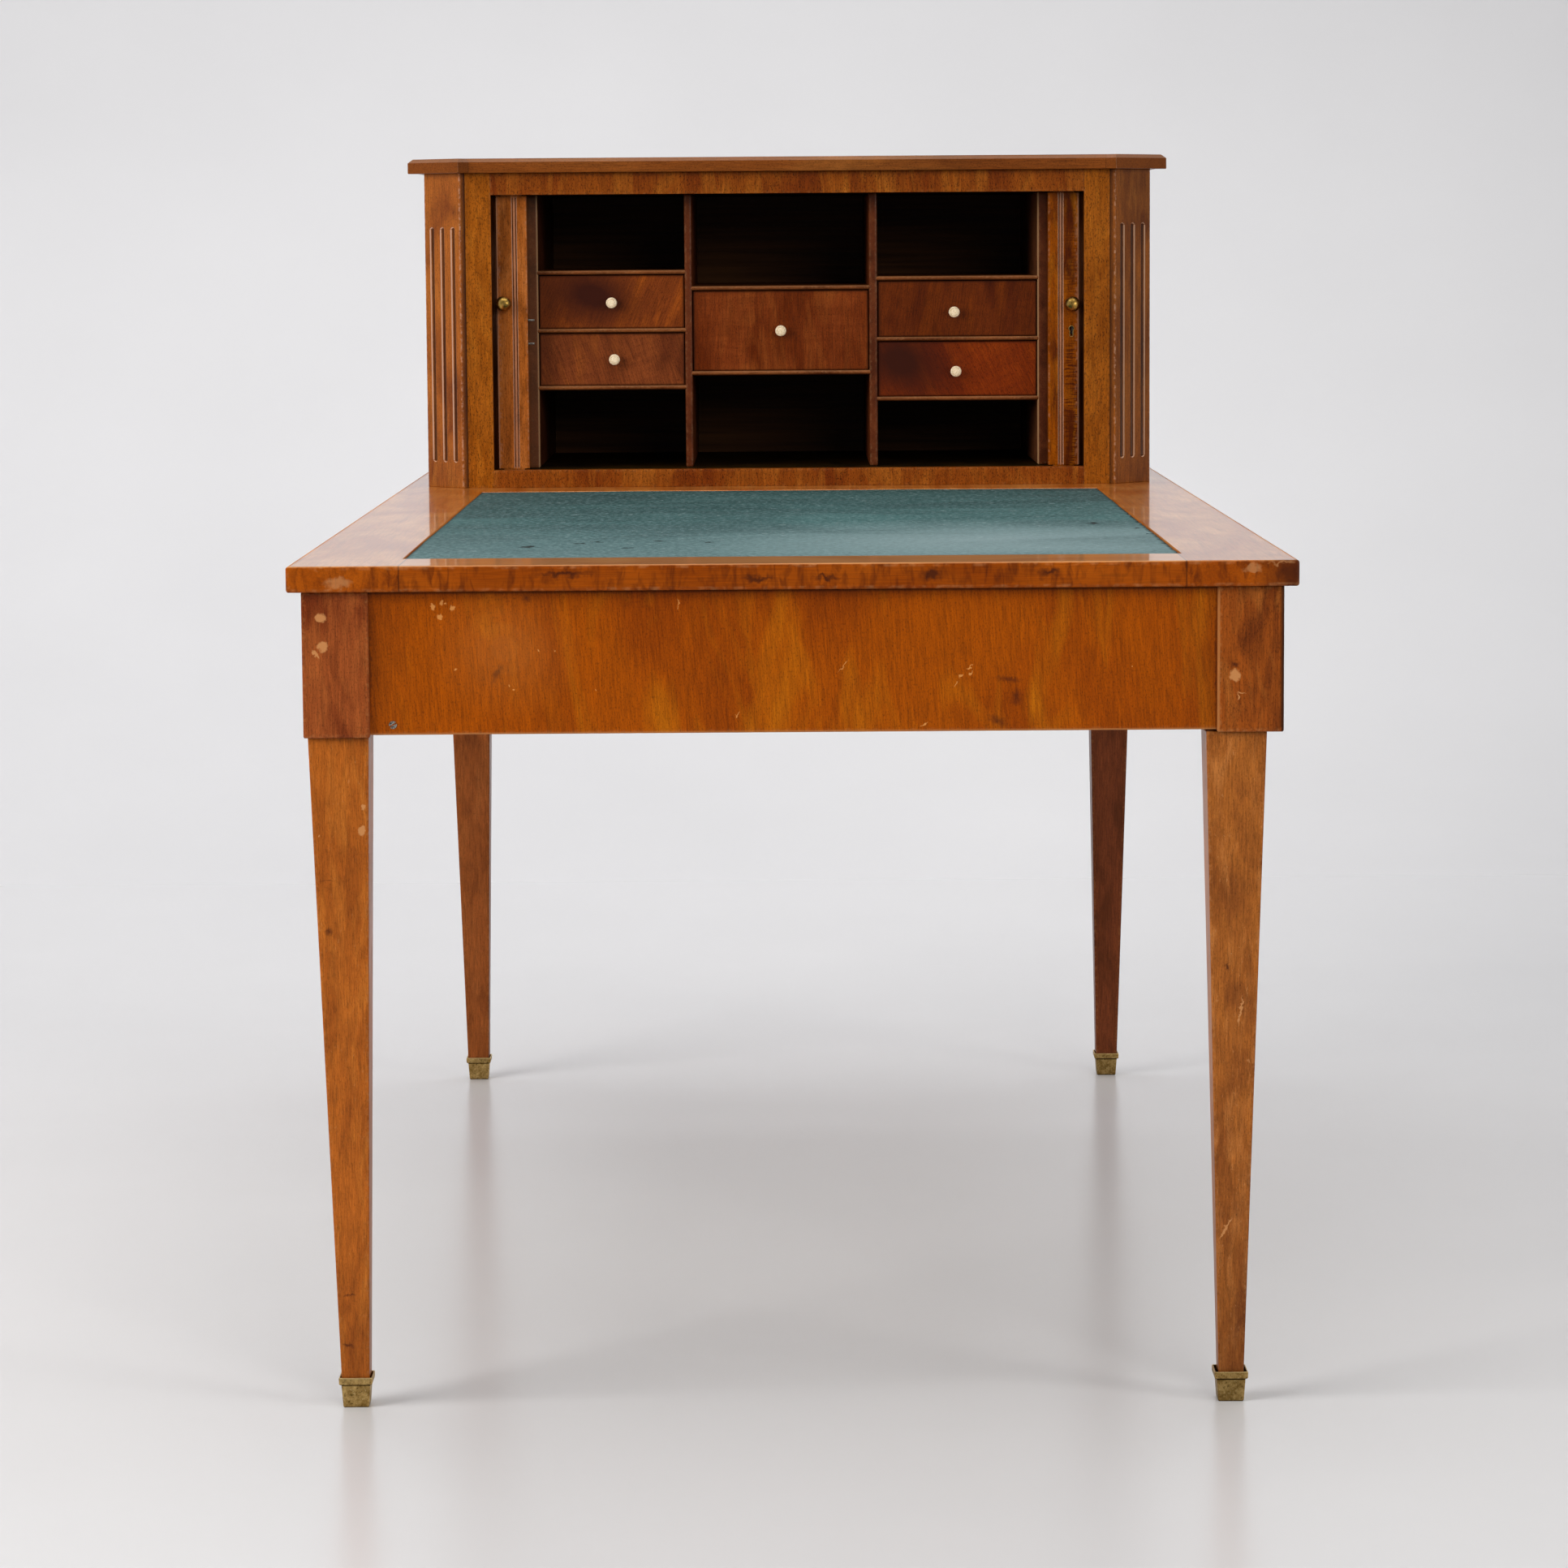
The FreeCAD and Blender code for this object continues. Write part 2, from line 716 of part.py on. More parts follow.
def build_curtain(name, side):
    """Slats stood along the track at rest, and the canvas they are glued to."""
    solids = []
    for n in range(slat_count):
        x, y, turn = along_track((n + 1 / 2) * slat_pitch)
        c, s = math.cos(turn), math.sin(turn)
        outline = [(x + c * u + s * v, y + s * u - c * v) for u, v in slat_outline()]
        tongue = groove_depth - end_gap
        solids.append(prism(mirrored(outline, side), hollow_bottom - tongue, hollow_top + tongue))
    solids.append(track(side, -canvas_thickness, 0, rail_outer, curtain_end(),
                        hollow_bottom + end_gap, hollow_top - end_gap))
    save("tambour_curtain_" + name, *solids)


def roll_knob_place(side):
    """Where the knob of a lead rail stands, across and up."""
    height = left_roll_knob_height if side == left else right_roll_knob_height
    return side * (rail_outer - roll_knob_from_edge), table_height + height


def lead_rail(side):
    """The upright that leads a roll front: a board with a sunk bead and a tongue at each end."""
    low, high = hollow_bottom + end_gap, hollow_top - end_gap
    rail = block(side * rail_inner, side * rail_outer, roll_face, rail_back, low, high)
    middle = side * (rail_inner + rail_outer) / 2
    half = rail_tongue_width / 2
    tongue = groove_depth - end_gap
    rail = rail.fuse(block(middle - half, middle + half, roll_face, canvas_face,
                           hollow_bottom - tongue, hollow_top + tongue)).removeSplitter()
    bead = side * (rail_inner + bead_from_edge)
    channel = bead_channel_width / 2
    channel_floor = roll_face + bead_channel_depth
    rail = rail.cut(block(bead - channel, bead + channel, roll_face - overrun, channel_floor, low, high))
    strip = rod(bead_radius, (bead, channel_floor, low), (bead, channel_floor, high))
    x, z = roll_knob_place(side)
    hole = rod(roll_knob_tenon_radius + fit_clearance,
               (x, roll_face - overrun, z), (x, rail_back + overrun, z))
    return rail.fuse(strip).removeSplitter().cut(hole)


def roll_knob(side):
    """A cast brass ball on a short neck, with a tenon through the lead rail."""
    x, z = roll_knob_place(side)
    neck_end = roll_face - roll_knob_neck_length
    ball = Part.makeSphere(roll_knob_radius, FreeCAD.Vector(x, neck_end - roll_knob_radius, z))
    neck = rod(roll_knob_neck_radius, (x, neck_end - roll_knob_radius, z), (x, roll_face, z))
    tenon = rod(roll_knob_tenon_radius, (x, roll_face, z), (x, rail_back, z))
    return ball.fuse(neck).fuse(tenon).removeSplitter()


def pin_levels():
    """Heights of the two pins of the strike."""
    return lock_level - strike_pin_spacing / 2, lock_level + strike_pin_spacing / 2


def pin_line():
    """Distance of the pins behind the lead rail's face: the middle of the lock's hollow."""
    return rail_back - lock_case_depth / 2


def build_left_roll():
    """Left lead rail with its knob and the strike's plate and pins in its meeting edge."""
    rail = lead_rail(left)
    edge = -rail_inner
    y = pin_line()
    half_y, half_z = strike_plate_width / 2, strike_plate_height / 2
    plate = block(edge - strike_plate_thickness, edge, y - half_y, rail_back,
                  lock_level - half_z, lock_level + half_z)
    rail = rail.cut(plate)
    strike = plate
    for z in pin_levels():
        strike = strike.fuse(rod(strike_pin_radius, (edge - strike_plate_thickness, y, z),
                                 (edge + strike_pin_length, y, z)))
    save("tambour_rail_left", rail)
    save("tambour_knob_left", roll_knob(left))
    save("lock_strike", strike.removeSplitter())
    build_curtain("left", left)


def build_right_roll():
    """Right lead rail with its knob, keyhole, lock case and bolt."""
    rail = lead_rail(right)
    x0 = rail_inner + lock_from_edge
    x1 = x0 + lock_case_width
    y0 = rail_back - lock_case_depth
    z0, z1 = lock_level - lock_case_height / 2, lock_level + lock_case_height / 2
    case = block(x0, x1, y0, rail_back, z0, z1)
    rail = rail.cut(case)
    wall = lock_case_wall
    hollow = block(x0 + wall, x1 - wall, y0 + wall, rail_back - wall, z0 + wall, z1 - wall)
    case = case.cut(hollow)
    y = pin_line()
    for z in pin_levels():
        hole = rod(strike_pin_radius + pin_play,
                   (rail_inner - overrun, y, z), (x0 + wall + fit_clearance, y, z))
        rail = rail.cut(hole)
        case = case.cut(hole)
    key_x = rail_outer - roll_knob_from_edge
    keyhole = rod(keyhole_radius, (key_x, roll_face - overrun, lock_level), (key_x, y0 + wall, lock_level))
    half = keyhole_slot_width / 2
    slot = block(key_x - half, key_x + half, roll_face - overrun, y0 + wall,
                 lock_level - keyhole_slot_length, lock_level)
    keyhole = keyhole.fuse(slot)
    save("tambour_rail_right", rail.cut(keyhole))
    save("lock_case", case.cut(keyhole))
    bolt_x = (x0 + x1) / 2
    bolt_low = z0 + wall
    bolt = block(bolt_x - bolt_width / 2, bolt_x + bolt_width / 2, y0 + wall + fit_clearance,
                 rail_back - wall - fit_clearance, bolt_low, bolt_low + bolt_height)
    save("lock_bolt", bolt)
    save("tambour_knob_right", roll_knob(right))
    build_curtain("right", right)


os.makedirs("parts", exist_ok=True)
build_top()
build_supports()
build_frieze()
build_floor_and_ceiling()
build_carcass()
build_cornice()
build_nest()
build_drawers()
build_left_roll()
build_right_roll()
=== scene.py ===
import math
import bpy
import numpy as np
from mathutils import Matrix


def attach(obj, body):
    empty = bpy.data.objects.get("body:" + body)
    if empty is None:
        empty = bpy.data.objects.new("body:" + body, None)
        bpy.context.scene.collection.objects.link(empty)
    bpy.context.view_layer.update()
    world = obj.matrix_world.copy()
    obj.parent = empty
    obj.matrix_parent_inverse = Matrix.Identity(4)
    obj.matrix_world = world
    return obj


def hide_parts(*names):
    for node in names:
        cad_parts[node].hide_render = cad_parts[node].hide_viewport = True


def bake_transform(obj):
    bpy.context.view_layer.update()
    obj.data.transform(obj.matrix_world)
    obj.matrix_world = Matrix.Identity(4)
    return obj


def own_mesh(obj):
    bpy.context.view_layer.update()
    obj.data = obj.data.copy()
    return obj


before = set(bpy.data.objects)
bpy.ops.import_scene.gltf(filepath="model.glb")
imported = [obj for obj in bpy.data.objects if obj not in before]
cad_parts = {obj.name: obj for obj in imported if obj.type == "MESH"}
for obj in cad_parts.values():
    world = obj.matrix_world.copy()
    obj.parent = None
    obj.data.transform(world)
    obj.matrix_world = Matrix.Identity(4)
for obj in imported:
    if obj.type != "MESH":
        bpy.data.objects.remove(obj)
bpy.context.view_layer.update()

# The four legs: solid mahogany, sawn square and tapered on all faces, the arrises just broken with
# a plane. Each has a spigot glued up into its corner post and a tenon down in a brass shoe.


def linear(colour):
    """An sRGB hex colour as linear red, green, blue and alpha, by the sRGB curve."""
    c = np.array([int(colour[i:i + 2], 16) for i in (1, 3, 5)]) / 255
    c = np.where(c <= 0.04045, c / 12.92, ((c + 0.055) / 1.055) ** 2.4)
    return (*c.tolist(), 1.0)


def add(tree, kind, inputs, **settings):
    """Adds one node. Its inputs go by name or number: a socket is linked, anything else is a value."""
    made = tree.nodes.new("ShaderNode" + kind)
    for name, value in settings.items():
        setattr(made, name, value)
    for name, value in inputs.items():
        if isinstance(value, bpy.types.NodeSocket):
            tree.links.new(value, made.inputs[name])
        else:
            made.inputs[name].default_value = value
    return made.outputs


def new_finish(name):
    """An empty material, its node tree and the object's own coordinates."""
    finish = bpy.data.materials.new(name)
    finish.use_nodes = True
    tree = finish.node_tree
    tree.nodes.clear()
    return finish, tree, add(tree, "TexCoord", {})["Object"]


def finished(finish, tree, inputs):
    """Ends a material in one shader with the given inputs."""
    shader = add(tree, "BsdfPrincipled", inputs)[0]
    add(tree, "OutputMaterial", {"Surface": shader})
    return finish


def stretched(tree, place, size, **inputs):
    """Noise whose lumps have the given size in metres along each axis."""
    spread = add(tree, "Mapping", {"Vector": place, "Scale": [1 / length for length in size]})[0]
    return add(tree, "TexNoise", {"Vector": spread, "Scale": 1.0, **inputs})[0]


def coated(tree, under, *coats):
    """Colours laid over one another. A coat is a colour and a value that brings it in, and then, as far as
    they are given, the value's range, the most that the coat covers and a mask that it stays within."""
    tone = linear(under) if isinstance(under, str) else under
    for over, value, *rest in coats:
        low, high, most, within = *rest, *(0.0, 1.0, 1.0, None)[len(rest):]
        share = add(tree, "MapRange", {"Value": value, "From Min": low, "From Max": high, "To Max": most})[0]
        if within is not None:
            share = add(tree, "Math", {0: share, 1: within}, operation="MULTIPLY")[0]
        over = linear(over) if isinstance(over, str) else over
        tone = add(tree, "Mix", {0: share, 6: tone, 7: over}, data_type="RGBA")[2]
    return tone


def shaded(tree, under, value, low, high, least, most):
    """A colour times a factor that goes from least to most as a value goes from low to high."""
    factor = add(tree, "MapRange", {"Value": value, "From Min": low, "From Max": high, "To Min": least,
                                    "To Max": most})[0]
    return add(tree, "Mix", {0: 1.0, 6: under, 7: factor}, data_type="RGBA", blend_type="MULTIPLY")[2]


def shaken(tree, place, scale, reach):
    """Coordinates pushed about by noise, which gives the marks set on them a ragged edge."""
    shake = add(tree, "TexNoise", {"Vector": place, "Scale": scale, "Detail": 3.0})[1]
    shake = add(tree, "VectorMath", {0: shake, 1: (0.5, 0.5, 0.5)}, operation="SUBTRACT")[0]
    shake = add(tree, "VectorMath", {0: shake, "Scale": reach}, operation="SCALE")[0]
    return add(tree, "VectorMath", {0: place, 1: shake}, operation="ADD")[0]


def spots(tree, marks, place, soft):
    """The strongest of several marks: each is full inside an ellipsoid given by its middle, half sizes,
    turn about Y and, where it is faint, its strength, and fades out at its edge."""
    found = None
    for centre, half, turn, *strength in marks:
        own = add(tree, "Mapping", {"Vector": place, "Location": centre, "Scale": half,
                                    "Rotation": (0, math.radians(turn), 0)}, vector_type="TEXTURE")[0]
        away = add(tree, "VectorMath", {0: own}, operation="LENGTH")["Value"]
        mask = add(tree, "MapRange", {"Value": away, "From Min": 1.0, "From Max": 1.0 - soft,
                                      "To Max": strength[0] if strength else 1.0})[0]
        found = mask if found is None else add(tree, "Math", {0: found, 1: mask}, operation="MAXIMUM")[0]
    return found


def mahogany(name, deep, middle, pale, grain=2, lean=0.0, cut=(0, 0, 0), patch=0.09, ribbon=0.004,
             ribbons=0.4, pores=0.5, curl=0.0, curl_pitch=0.006, curl_place=(), polish=0.34, coat=0.04,
             rim_pale="#B07A48", wear=0.16, pale_marks=(), dark_marks=(), chip="#BE8450", darkening=0.75,
             scuffs=0.0):
    """French-polished mahogany. Patches, ribbons, fibres and pores are noise of four sizes, each drawn out
    along the fibres, and curl is bars across them. The rim attribute rubs the arrises pale: up to 1 in
    places, as wear, and above 1 all along, mostly as a painted highlight; below 0 it is painted shade in a
    hollow or under an edge. Dark marks are stains, and some are painted shade."""
    finish, tree, place = new_finish("mahogany_" + name)
    turn = [0, 0, 0]
    turn[1 if grain == 2 else 2] = math.radians(lean)
    laid = add(tree, "Mapping", {"Vector": place, "Location": cut, "Rotation": turn})[0]

    def drawn_out(size, stretch, **inputs):
        """Noise of one size across the fibres, stretched along them."""
        sizes = [size] * 3
        sizes[grain] = size * stretch
        return stretched(tree, laid, sizes, **inputs)

    broad = drawn_out(patch, 2.6, Detail=3.0, Roughness=0.55, Distortion=0.6)
    second = drawn_out(patch * 0.55, 4.0, Detail=3.0, Distortion=0.9)
    stripe = drawn_out(ribbon, 30.0, Detail=4.0, Roughness=0.65, Distortion=0.3)
    # Fibres and pores are drawn about twice their size, so that a picture of the whole desk holds them.
    fibre = drawn_out(0.0013, 16.0, Detail=5.0, Roughness=0.75, Distortion=0.5)
    pore = drawn_out(0.0009, 2.5, Detail=2.0, Roughness=0.6)
    tone = coated(tree, deep, (middle, broad, 0.36, 0.56), (pale, second, 0.5, 0.78))
    if curl:
        bars = drawn_out(curl_pitch * 8, 0.125, Detail=2.0, Distortion=0.2)
        if curl_place:
            here = spots(tree, curl_place, place, 0.4)
        else:
            here = add(tree, "MapRange", {"Value": broad, "From Min": 0.36, "From Max": 0.52,
                                          "To Min": 0.25})[0]
        tone = coated(tree, tone, (deep, bars, 0.46, 0.58, curl, here))
    tone = coated(tree, tone, (deep, stripe, 0.52, 0.74, ribbons))
    tone = shaded(tree, tone, fibre, 0.32, 0.68, 0.62, 1.32)
    tone = shaded(tree, tone, pore, 0.52, 0.7, 1.0, 1.0 - pores)
    if scuffs:
        fleck = drawn_out(0.0026, 2.6, Detail=3.0, Roughness=0.7)
        here = add(tree, "MapRange", {"Value": second, "From Min": 0.42, "From Max": 0.58})[0]
        tone = coated(tree, tone, (chip, fleck, 0.63, 0.7, scuffs, here))
    rim = add(tree, "Attribute", {}, attribute_name="rim")["Fac"]
    rubbed = add(tree, "TexNoise", {"Vector": place, "Scale": 260.0, "Detail": 4.0})[0]
    rubbed = add(tree, "MapRange", {"Value": rubbed, "From Min": 0.48, "From Max": 0.64, "To Max": wear})[0]
    on_arris = add(tree, "Math", {0: rim, 1: 0.0}, operation="MAXIMUM")[0]
    rubbed = add(tree, "Math", {0: rubbed, 1: on_arris}, operation="MULTIPLY")[0]
    # Up to 1 the rim rubs in pale wear; above 1 it is pale all along, mostly as a painted highlight; below 0
    # it is painted shade.
    along = add(tree, "MapRange", {"Value": rim, "From Min": 1.0, "From Max": 2.0, "To Max": 0.85})[0]
    rubbed = add(tree, "Math", {0: rubbed, 1: along}, operation="MAXIMUM")[0]
    tone = coated(tree, tone, (rim_pale, rubbed), ("#1E0D05", rim, 0.0, -1.0, 0.85))
    # Dark marks are stains, and some are painted shade.
    if pale_marks or dark_marks:
        ragged = shaken(tree, place, 260.0, 0.007)
        for marks, soft, colour, most in ((dark_marks, 0.8, "#35140A", darkening), (pale_marks, 0.35, chip, 0.8)):
            if marks:
                tone = coated(tree, tone, (colour, spots(tree, marks, ragged, soft), 0.0, 1.0, most))
    gloss = add(tree, "MapRange", {"Value": second, "From Min": 0.3, "From Max": 0.7,
                                   "To Min": polish - 0.05, "To Max": polish + 0.07})[0]
    planed = add(tree, "TexNoise", {"Vector": laid, "Scale": 22.0, "Detail": 1.0})[0]
    planed = add(tree, "Bump", {"Height": planed, "Strength": 0.2, "Distance": 0.0012})[0]
    sunk = add(tree, "Bump", {"Height": pore, "Strength": 0.1, "Distance": 0.0003, "Normal": planed})[0]
    return finished(finish, tree, {"Base Color": tone, "Roughness": gloss, "Normal": sunk, "IOR": 1.5,
                                   "Specular IOR Level": 0.1, "Coat Weight": coat, "Coat Roughness": 0.15})


# Every rounded corner is drawn in this many steps.
arc_steps = 3


def rounded_rectangles(half, radius, lip):
    """Rectangles with rounded corners, one a row, once round from the right: at each corner a quarter
    circle, and a point one lip away from it on each side. Also says which columns lie on an arc."""
    quarter = np.linspace(0, np.pi / 2, arc_steps + 1)
    parts, on_arc = [], []
    for first in np.arange(4) * np.pi / 2:
        sign = np.sign(np.array([np.cos(first + np.pi / 4), np.sin(first + np.pi / 4)]))
        core = sign * (half - radius[:, None])
        out = np.stack([np.cos(first + quarter), np.sin(first + quarter)], axis=1)
        arc = core[:, None] + radius[:, None, None] * out
        start = lip * np.array([-np.sin(first), np.cos(first)])
        end = lip * np.array([-np.cos(first), -np.sin(first)])
        parts += [arc[:, :1] - start, arc, arc[:, -1:] + end]
        on_arc += [0] + [1] * (arc_steps + 1) + [0]
    return np.concatenate(parts, axis=1), np.array(on_arc, float)


def raised(plans, levels):
    """Plans, one a row, each set at its own level."""
    return np.concatenate([plans, np.broadcast_to(levels[:, None, None], (*plans.shape[:2], 1))], axis=2)


def skin(grid, rim, wrap=False):
    """A grid of points, rows by columns, as a shape: each row closes on itself, quads join the rows, and
    the end rows are closed with a flat face, or joined to each other where the rows wrap."""
    rows, columns = grid.shape[:2]
    row = np.arange(rows if wrap else rows - 1)[:, None]
    column = np.arange(columns)[None]
    beside, above = (column + 1) % columns, (row + 1) % rows
    quads = np.stack([row * columns + column, row * columns + beside,
                      above * columns + beside, above * columns + column], axis=-1).reshape(-1, 4).tolist()
    if not wrap:
        quads.append(list(range(columns))[::-1])
        quads.append(list(range((rows - 1) * columns, rows * columns)))
    return grid.reshape(-1, 3), quads, np.asarray(rim, float).reshape(-1)


def tower(levels, half, centre, radius, rim_rows, lip=0.003):
    """A square upright: rounded rectangles of given half sizes about given centres, level by level."""
    outline, on_arc = rounded_rectangles(half, radius, lip)
    rim = np.maximum(rim_rows[:, None], on_arc[None])
    rim[[0, -1]] = 0
    return skin(raised(outline + centre[:, None], levels), rim)


def ends(low, high, radius, lip=0.003):
    """Levels and insets of a length with rounded ends: a lip of flat end, a quarter circle, a lip of side."""
    a = np.linspace(0, np.pi / 2, arc_steps + 1)
    inset = np.concatenate([[radius + lip], radius * (1 - np.sin(a)), [0]])
    height = np.concatenate([[0], radius * (1 - np.cos(a)), [radius + lip]])
    on_arc = np.concatenate([[0], np.ones(arc_steps + 1), [0]])
    return (np.concatenate([low + height, high - height[::-1]]), np.concatenate([inset, inset[::-1]]),
            np.concatenate([on_arc, on_arc]))


def piece(name, shape, finish, slot, body, *nodes):
    """Puts a shape into a mesh, smooth all over, and rides it on its body in place of the nodes named."""
    points, faces, rim = shape
    mesh = bpy.data.meshes.new(name)
    mesh.from_pydata(points.tolist(), [], faces)
    mesh.attributes.new("rim", "FLOAT", "POINT").data.foreach_set("value", rim.astype(np.float32))
    mesh.polygons.foreach_set("use_smooth", np.ones(len(mesh.polygons), bool))
    mesh.materials.append(finish)
    made = bpy.data.objects.new(name, mesh)
    bpy.context.scene.collection.objects.link(made)
    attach(made, body)
    if nodes:
        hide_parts(*nodes)
    return made


leg_top, leg_foot, leg_top_half, leg_arris = 0.612, 0.0262, 0.027, 0.0011
# On the end faces the corners keep this share of the arris's radius.
least_corner = 0.15
# Middle of the leg's top, middle of its foot, and the foot's half width.
leg_places = {
    "near_left": ((-0.404, -0.8525), (-0.400, -0.8485), 0.0126),
    "near_right": ((0.393, -0.8525), (0.392, -0.8485), 0.0114),
    "far_left": ((-0.3985, 0.8525), (-0.3945, 0.8485), 0.0130),
    "far_right": ((0.3985, 0.8525), (0.3945, 0.8485), 0.0130),
}
# Solid mahogany, planed and polished: straight fibres down the leg, orange-brown, pores as short dashes.
leg_grain = {"patch": 0.03, "ribbon": 0.003}
leg_finishes = {
    "near_left": mahogany(
        "leg_near_left", "#8C4814", "#A4581A", "#AE6422", cut=(0.3, 0.1, 0.2), wear=0.25, pores=0.3,
        scuffs=0.3, **leg_grain,
        pale_marks=[((-0.383, -0.879, 0.5495), (0.0022, 0.012, 0.003), 0),
                    ((-0.3845, -0.878, 0.5276), (0.0036, 0.012, 0.0055), 0),
                    ((-0.423, -0.878, 0.5237), (0.0012, 0.012, 0.0016), 0)],
        dark_marks=[((-0.416, -0.879, 0.4836), (0.011, 0.012, 0.0007), 0),
                    ((-0.4156, -0.876, 0.4376), (0.0035, 0.012, 0.006), 20),
                    ((-0.404, -0.86, 0.104), (0.009, 0.02, 0.0012), -12),
                    ((-0.406, -0.86, 0.058), (0.008, 0.02, 0.003), 15),
                    ((-0.4, -0.85, 0.03), (0.06, 0.06, 0.12), 0, 0.3)]),
    "near_right": mahogany(
        "leg_near_right", "#80461A", "#9C5A22", "#AE6C34", cut=(0.7, 0.4, 0.1), wear=0.3, pores=0.34,
        scuffs=0.6, **leg_grain,
        pale_marks=[((0.398, -0.866, 0.36), (0.0012, 0.02, 0.016), 8),
                    ((0.386, -0.862, 0.16), (0.0015, 0.02, 0.014), 30)],
        dark_marks=[((0.398, -0.86, 0.07), (0.007, 0.02, 0.03), 20, 0.7),
                    ((0.392, -0.85, 0.03), (0.06, 0.06, 0.2), 0, 0.5),
                    ((0.386, -0.874, 0.4), (0.003, 0.02, 0.006), 0)]),
    # The far legs are painted darker than the near ones, the right one most, as shade.
    "far_left": mahogany("leg_far_left", "#783E18", "#8E4C20", "#985628", cut=(0.2, 0.9, 0.5), pores=0.3,
                         **leg_grain),
    "far_right": mahogany("leg_far_right", "#542810", "#663218", "#70381C", cut=(0.9, 0.2, 0.8), pores=0.3,
                          **leg_grain),
}
for corner, (top, foot, foot_half) in leg_places.items():
    levels, inset, rim_rows = ends(leg_foot, leg_top, leg_arris)
    share = ((levels - leg_foot) / (leg_top - leg_foot))[:, None]
    centre = np.array(foot) * (1 - share) + np.array(top) * share
    half = foot_half * (1 - share) + leg_top_half * share - inset[:, None]
    radius = np.maximum(leg_arris - inset, least_corner * leg_arris)
    shape = tower(levels, np.repeat(half, 2, axis=1), centre, radius, rim_rows)
    piece(corner + "_leg", shape, leg_finishes[corner], "leg_mahogany", "desk", "leg_" + corner)


# The brass shoes: thin castings with a collar round the mouth, pushed over the leg's foot and pinned.
# They have never been lacquered, so they are dull olive gold with dark specks.

def aged_brass(name, base, dark, shine, rough, speck):
    """Old brass: metal, with tarnish as soft patches and casting pits as specks. The rim attribute
    brightens it up to 1, as polish on the keyhole's liner and as a painted highlight on the shoes' collars,
    and below 0 darkens it, as painted shade on the shoes."""
    finish, tree, place = new_finish(name)
    cloud = add(tree, "TexNoise", {"Vector": place, "Scale": 140.0, "Detail": 4.0, "Roughness": 0.65})[0]
    pits = add(tree, "TexNoise", {"Vector": place, "Scale": 1 / speck, "Detail": 2.0})[0]
    rim = add(tree, "Attribute", {}, attribute_name="rim")["Fac"]
    tone = coated(tree, base, (dark, cloud, 0.4, 0.66), (shine, pits, 0.58, 0.74, 0.55),
                  ("#2E2009", pits, 0.42, 0.3, 0.6), (shine, rim), ("#2E2009", rim, 0.0, -1.0))
    dull = add(tree, "MapRange", {"Value": cloud, "From Min": 0.3, "From Max": 0.7, "To Min": rough,
                                  "To Max": rough + 0.15})[0]
    bump = add(tree, "Bump", {"Height": pits, "Strength": 0.3, "Distance": 0.0004})[0]
    return finished(finish, tree, {"Base Color": tone, "Metallic": 1.0, "Roughness": dull, "Normal": bump})


def joined(shapes):
    """Several shapes as one."""
    start = np.cumsum([0] + [len(s[0]) for s in shapes])
    faces = [[i + first for i in face] for s, first in zip(shapes, start) for face in s[1]]
    return np.concatenate([s[0] for s in shapes]), faces, np.concatenate([s[2] for s in shapes])


# Cast brass, tarnished: olive gold, half matt, pitted.
shoe_brass = aged_brass("cast_brass_shoe", "#C6A465", "#8E6E38", "#E4CB90", 0.42, 0.0022)
# Height and half width of the shoe's outside from the floor up, over the collar and down inside it, and
# where it is painted bright (above 0), as a highlight on the collar's top, and painted dark (below 0), as
# shade at the floor, under the collar and in its mouth.
shoe_section = np.array([
    (0.0, 0.0096, -0.6), (0.0, 0.0108, -0.6), (0.0005, 0.0114, -0.5), (0.0018, 0.0117, 0),
    (0.012, 0.0124, 0), (0.0198, 0.0130, 0), (0.0206, 0.01305, -0.9), (0.0211, 0.0131, -1),
    (0.0213, 0.0142, -0.8), (0.0217, 0.0148, -0.2), (0.0226, 0.0151, 0.1), (0.0266, 0.0152, 0.1),
    (0.0274, 0.01515, 0.6), (0.0279, 0.0149, 0.9), (0.0280, 0.0144, 0.7), (0.0278, 0.0139, -0.3),
    (0.0268, 0.0136, -0.9), (0.0252, 0.0135, -1), (0.0252, 0.006, -1)])
shoe_corner, shoe_lip = 0.0009, 0.002
# The right pair is set darker all over.
shoe_rim_drop = {"left": 0.0, "right": 0.3}
levels, rows = shoe_section[:, 0], len(shoe_section)
half = np.repeat(shoe_section[:, 1:2], 2, axis=1)
for end in ("near", "far"):
    shoes = []
    for side, rim_drop in shoe_rim_drop.items():
        centre = np.tile(leg_places[end + "_" + side][1], (rows, 1))
        points, faces, _ = tower(levels, half, centre, np.full(rows, shoe_corner), np.zeros(rows), shoe_lip)
        shoes.append((points, faces, np.repeat(shoe_section[:, 2], len(points) // rows) - rim_drop))
    piece(end + "_shoes", joined(shoes), shoe_brass, "brass", "desk", "sabots_" + end)


# The corner posts: square blocks of mahogany, mortised for the aprons and bored for the legs' spigots.
# They stand a little proud of the aprons, and their polish is knocked off in places.

def board(x0, x1, y0, y1, z0, z1, radius, lip=0.003):
    """A board between three pairs of coordinates, all its arrises rounded to one radius."""
    low, high = np.minimum([x0, y0, z0], [x1, y1, z1]), np.maximum([x0, y0, z0], [x1, y1, z1])
    lip = min(lip, 0.4 * ((high - low).min() / 2 - radius))
    levels, inset, rim_rows = ends(low[2], high[2], radius, lip)
    half = ((high - low)[:2] / 2)[None] - inset[:, None]
    centre = np.tile((high + low)[:2] / 2, (len(levels), 1))
    return tower(levels, half, centre, np.maximum(radius - inset, least_corner * radius), rim_rows, lip)


def on_front(y, rows, deep=0.012):
    """Marks on a face towards the near end, from across, up, half width, half height and turn of each."""
    return [((x, y, z), (wide, deep, high), turn) for x, z, wide, high, turn in rows]


hands = {"left": -1, "right": 1}
frieze_low, frieze_high = 0.612, 0.742
post_out_x, post_out_y, post_width, post_arris = 0.434, 0.888, 0.059, 0.0016
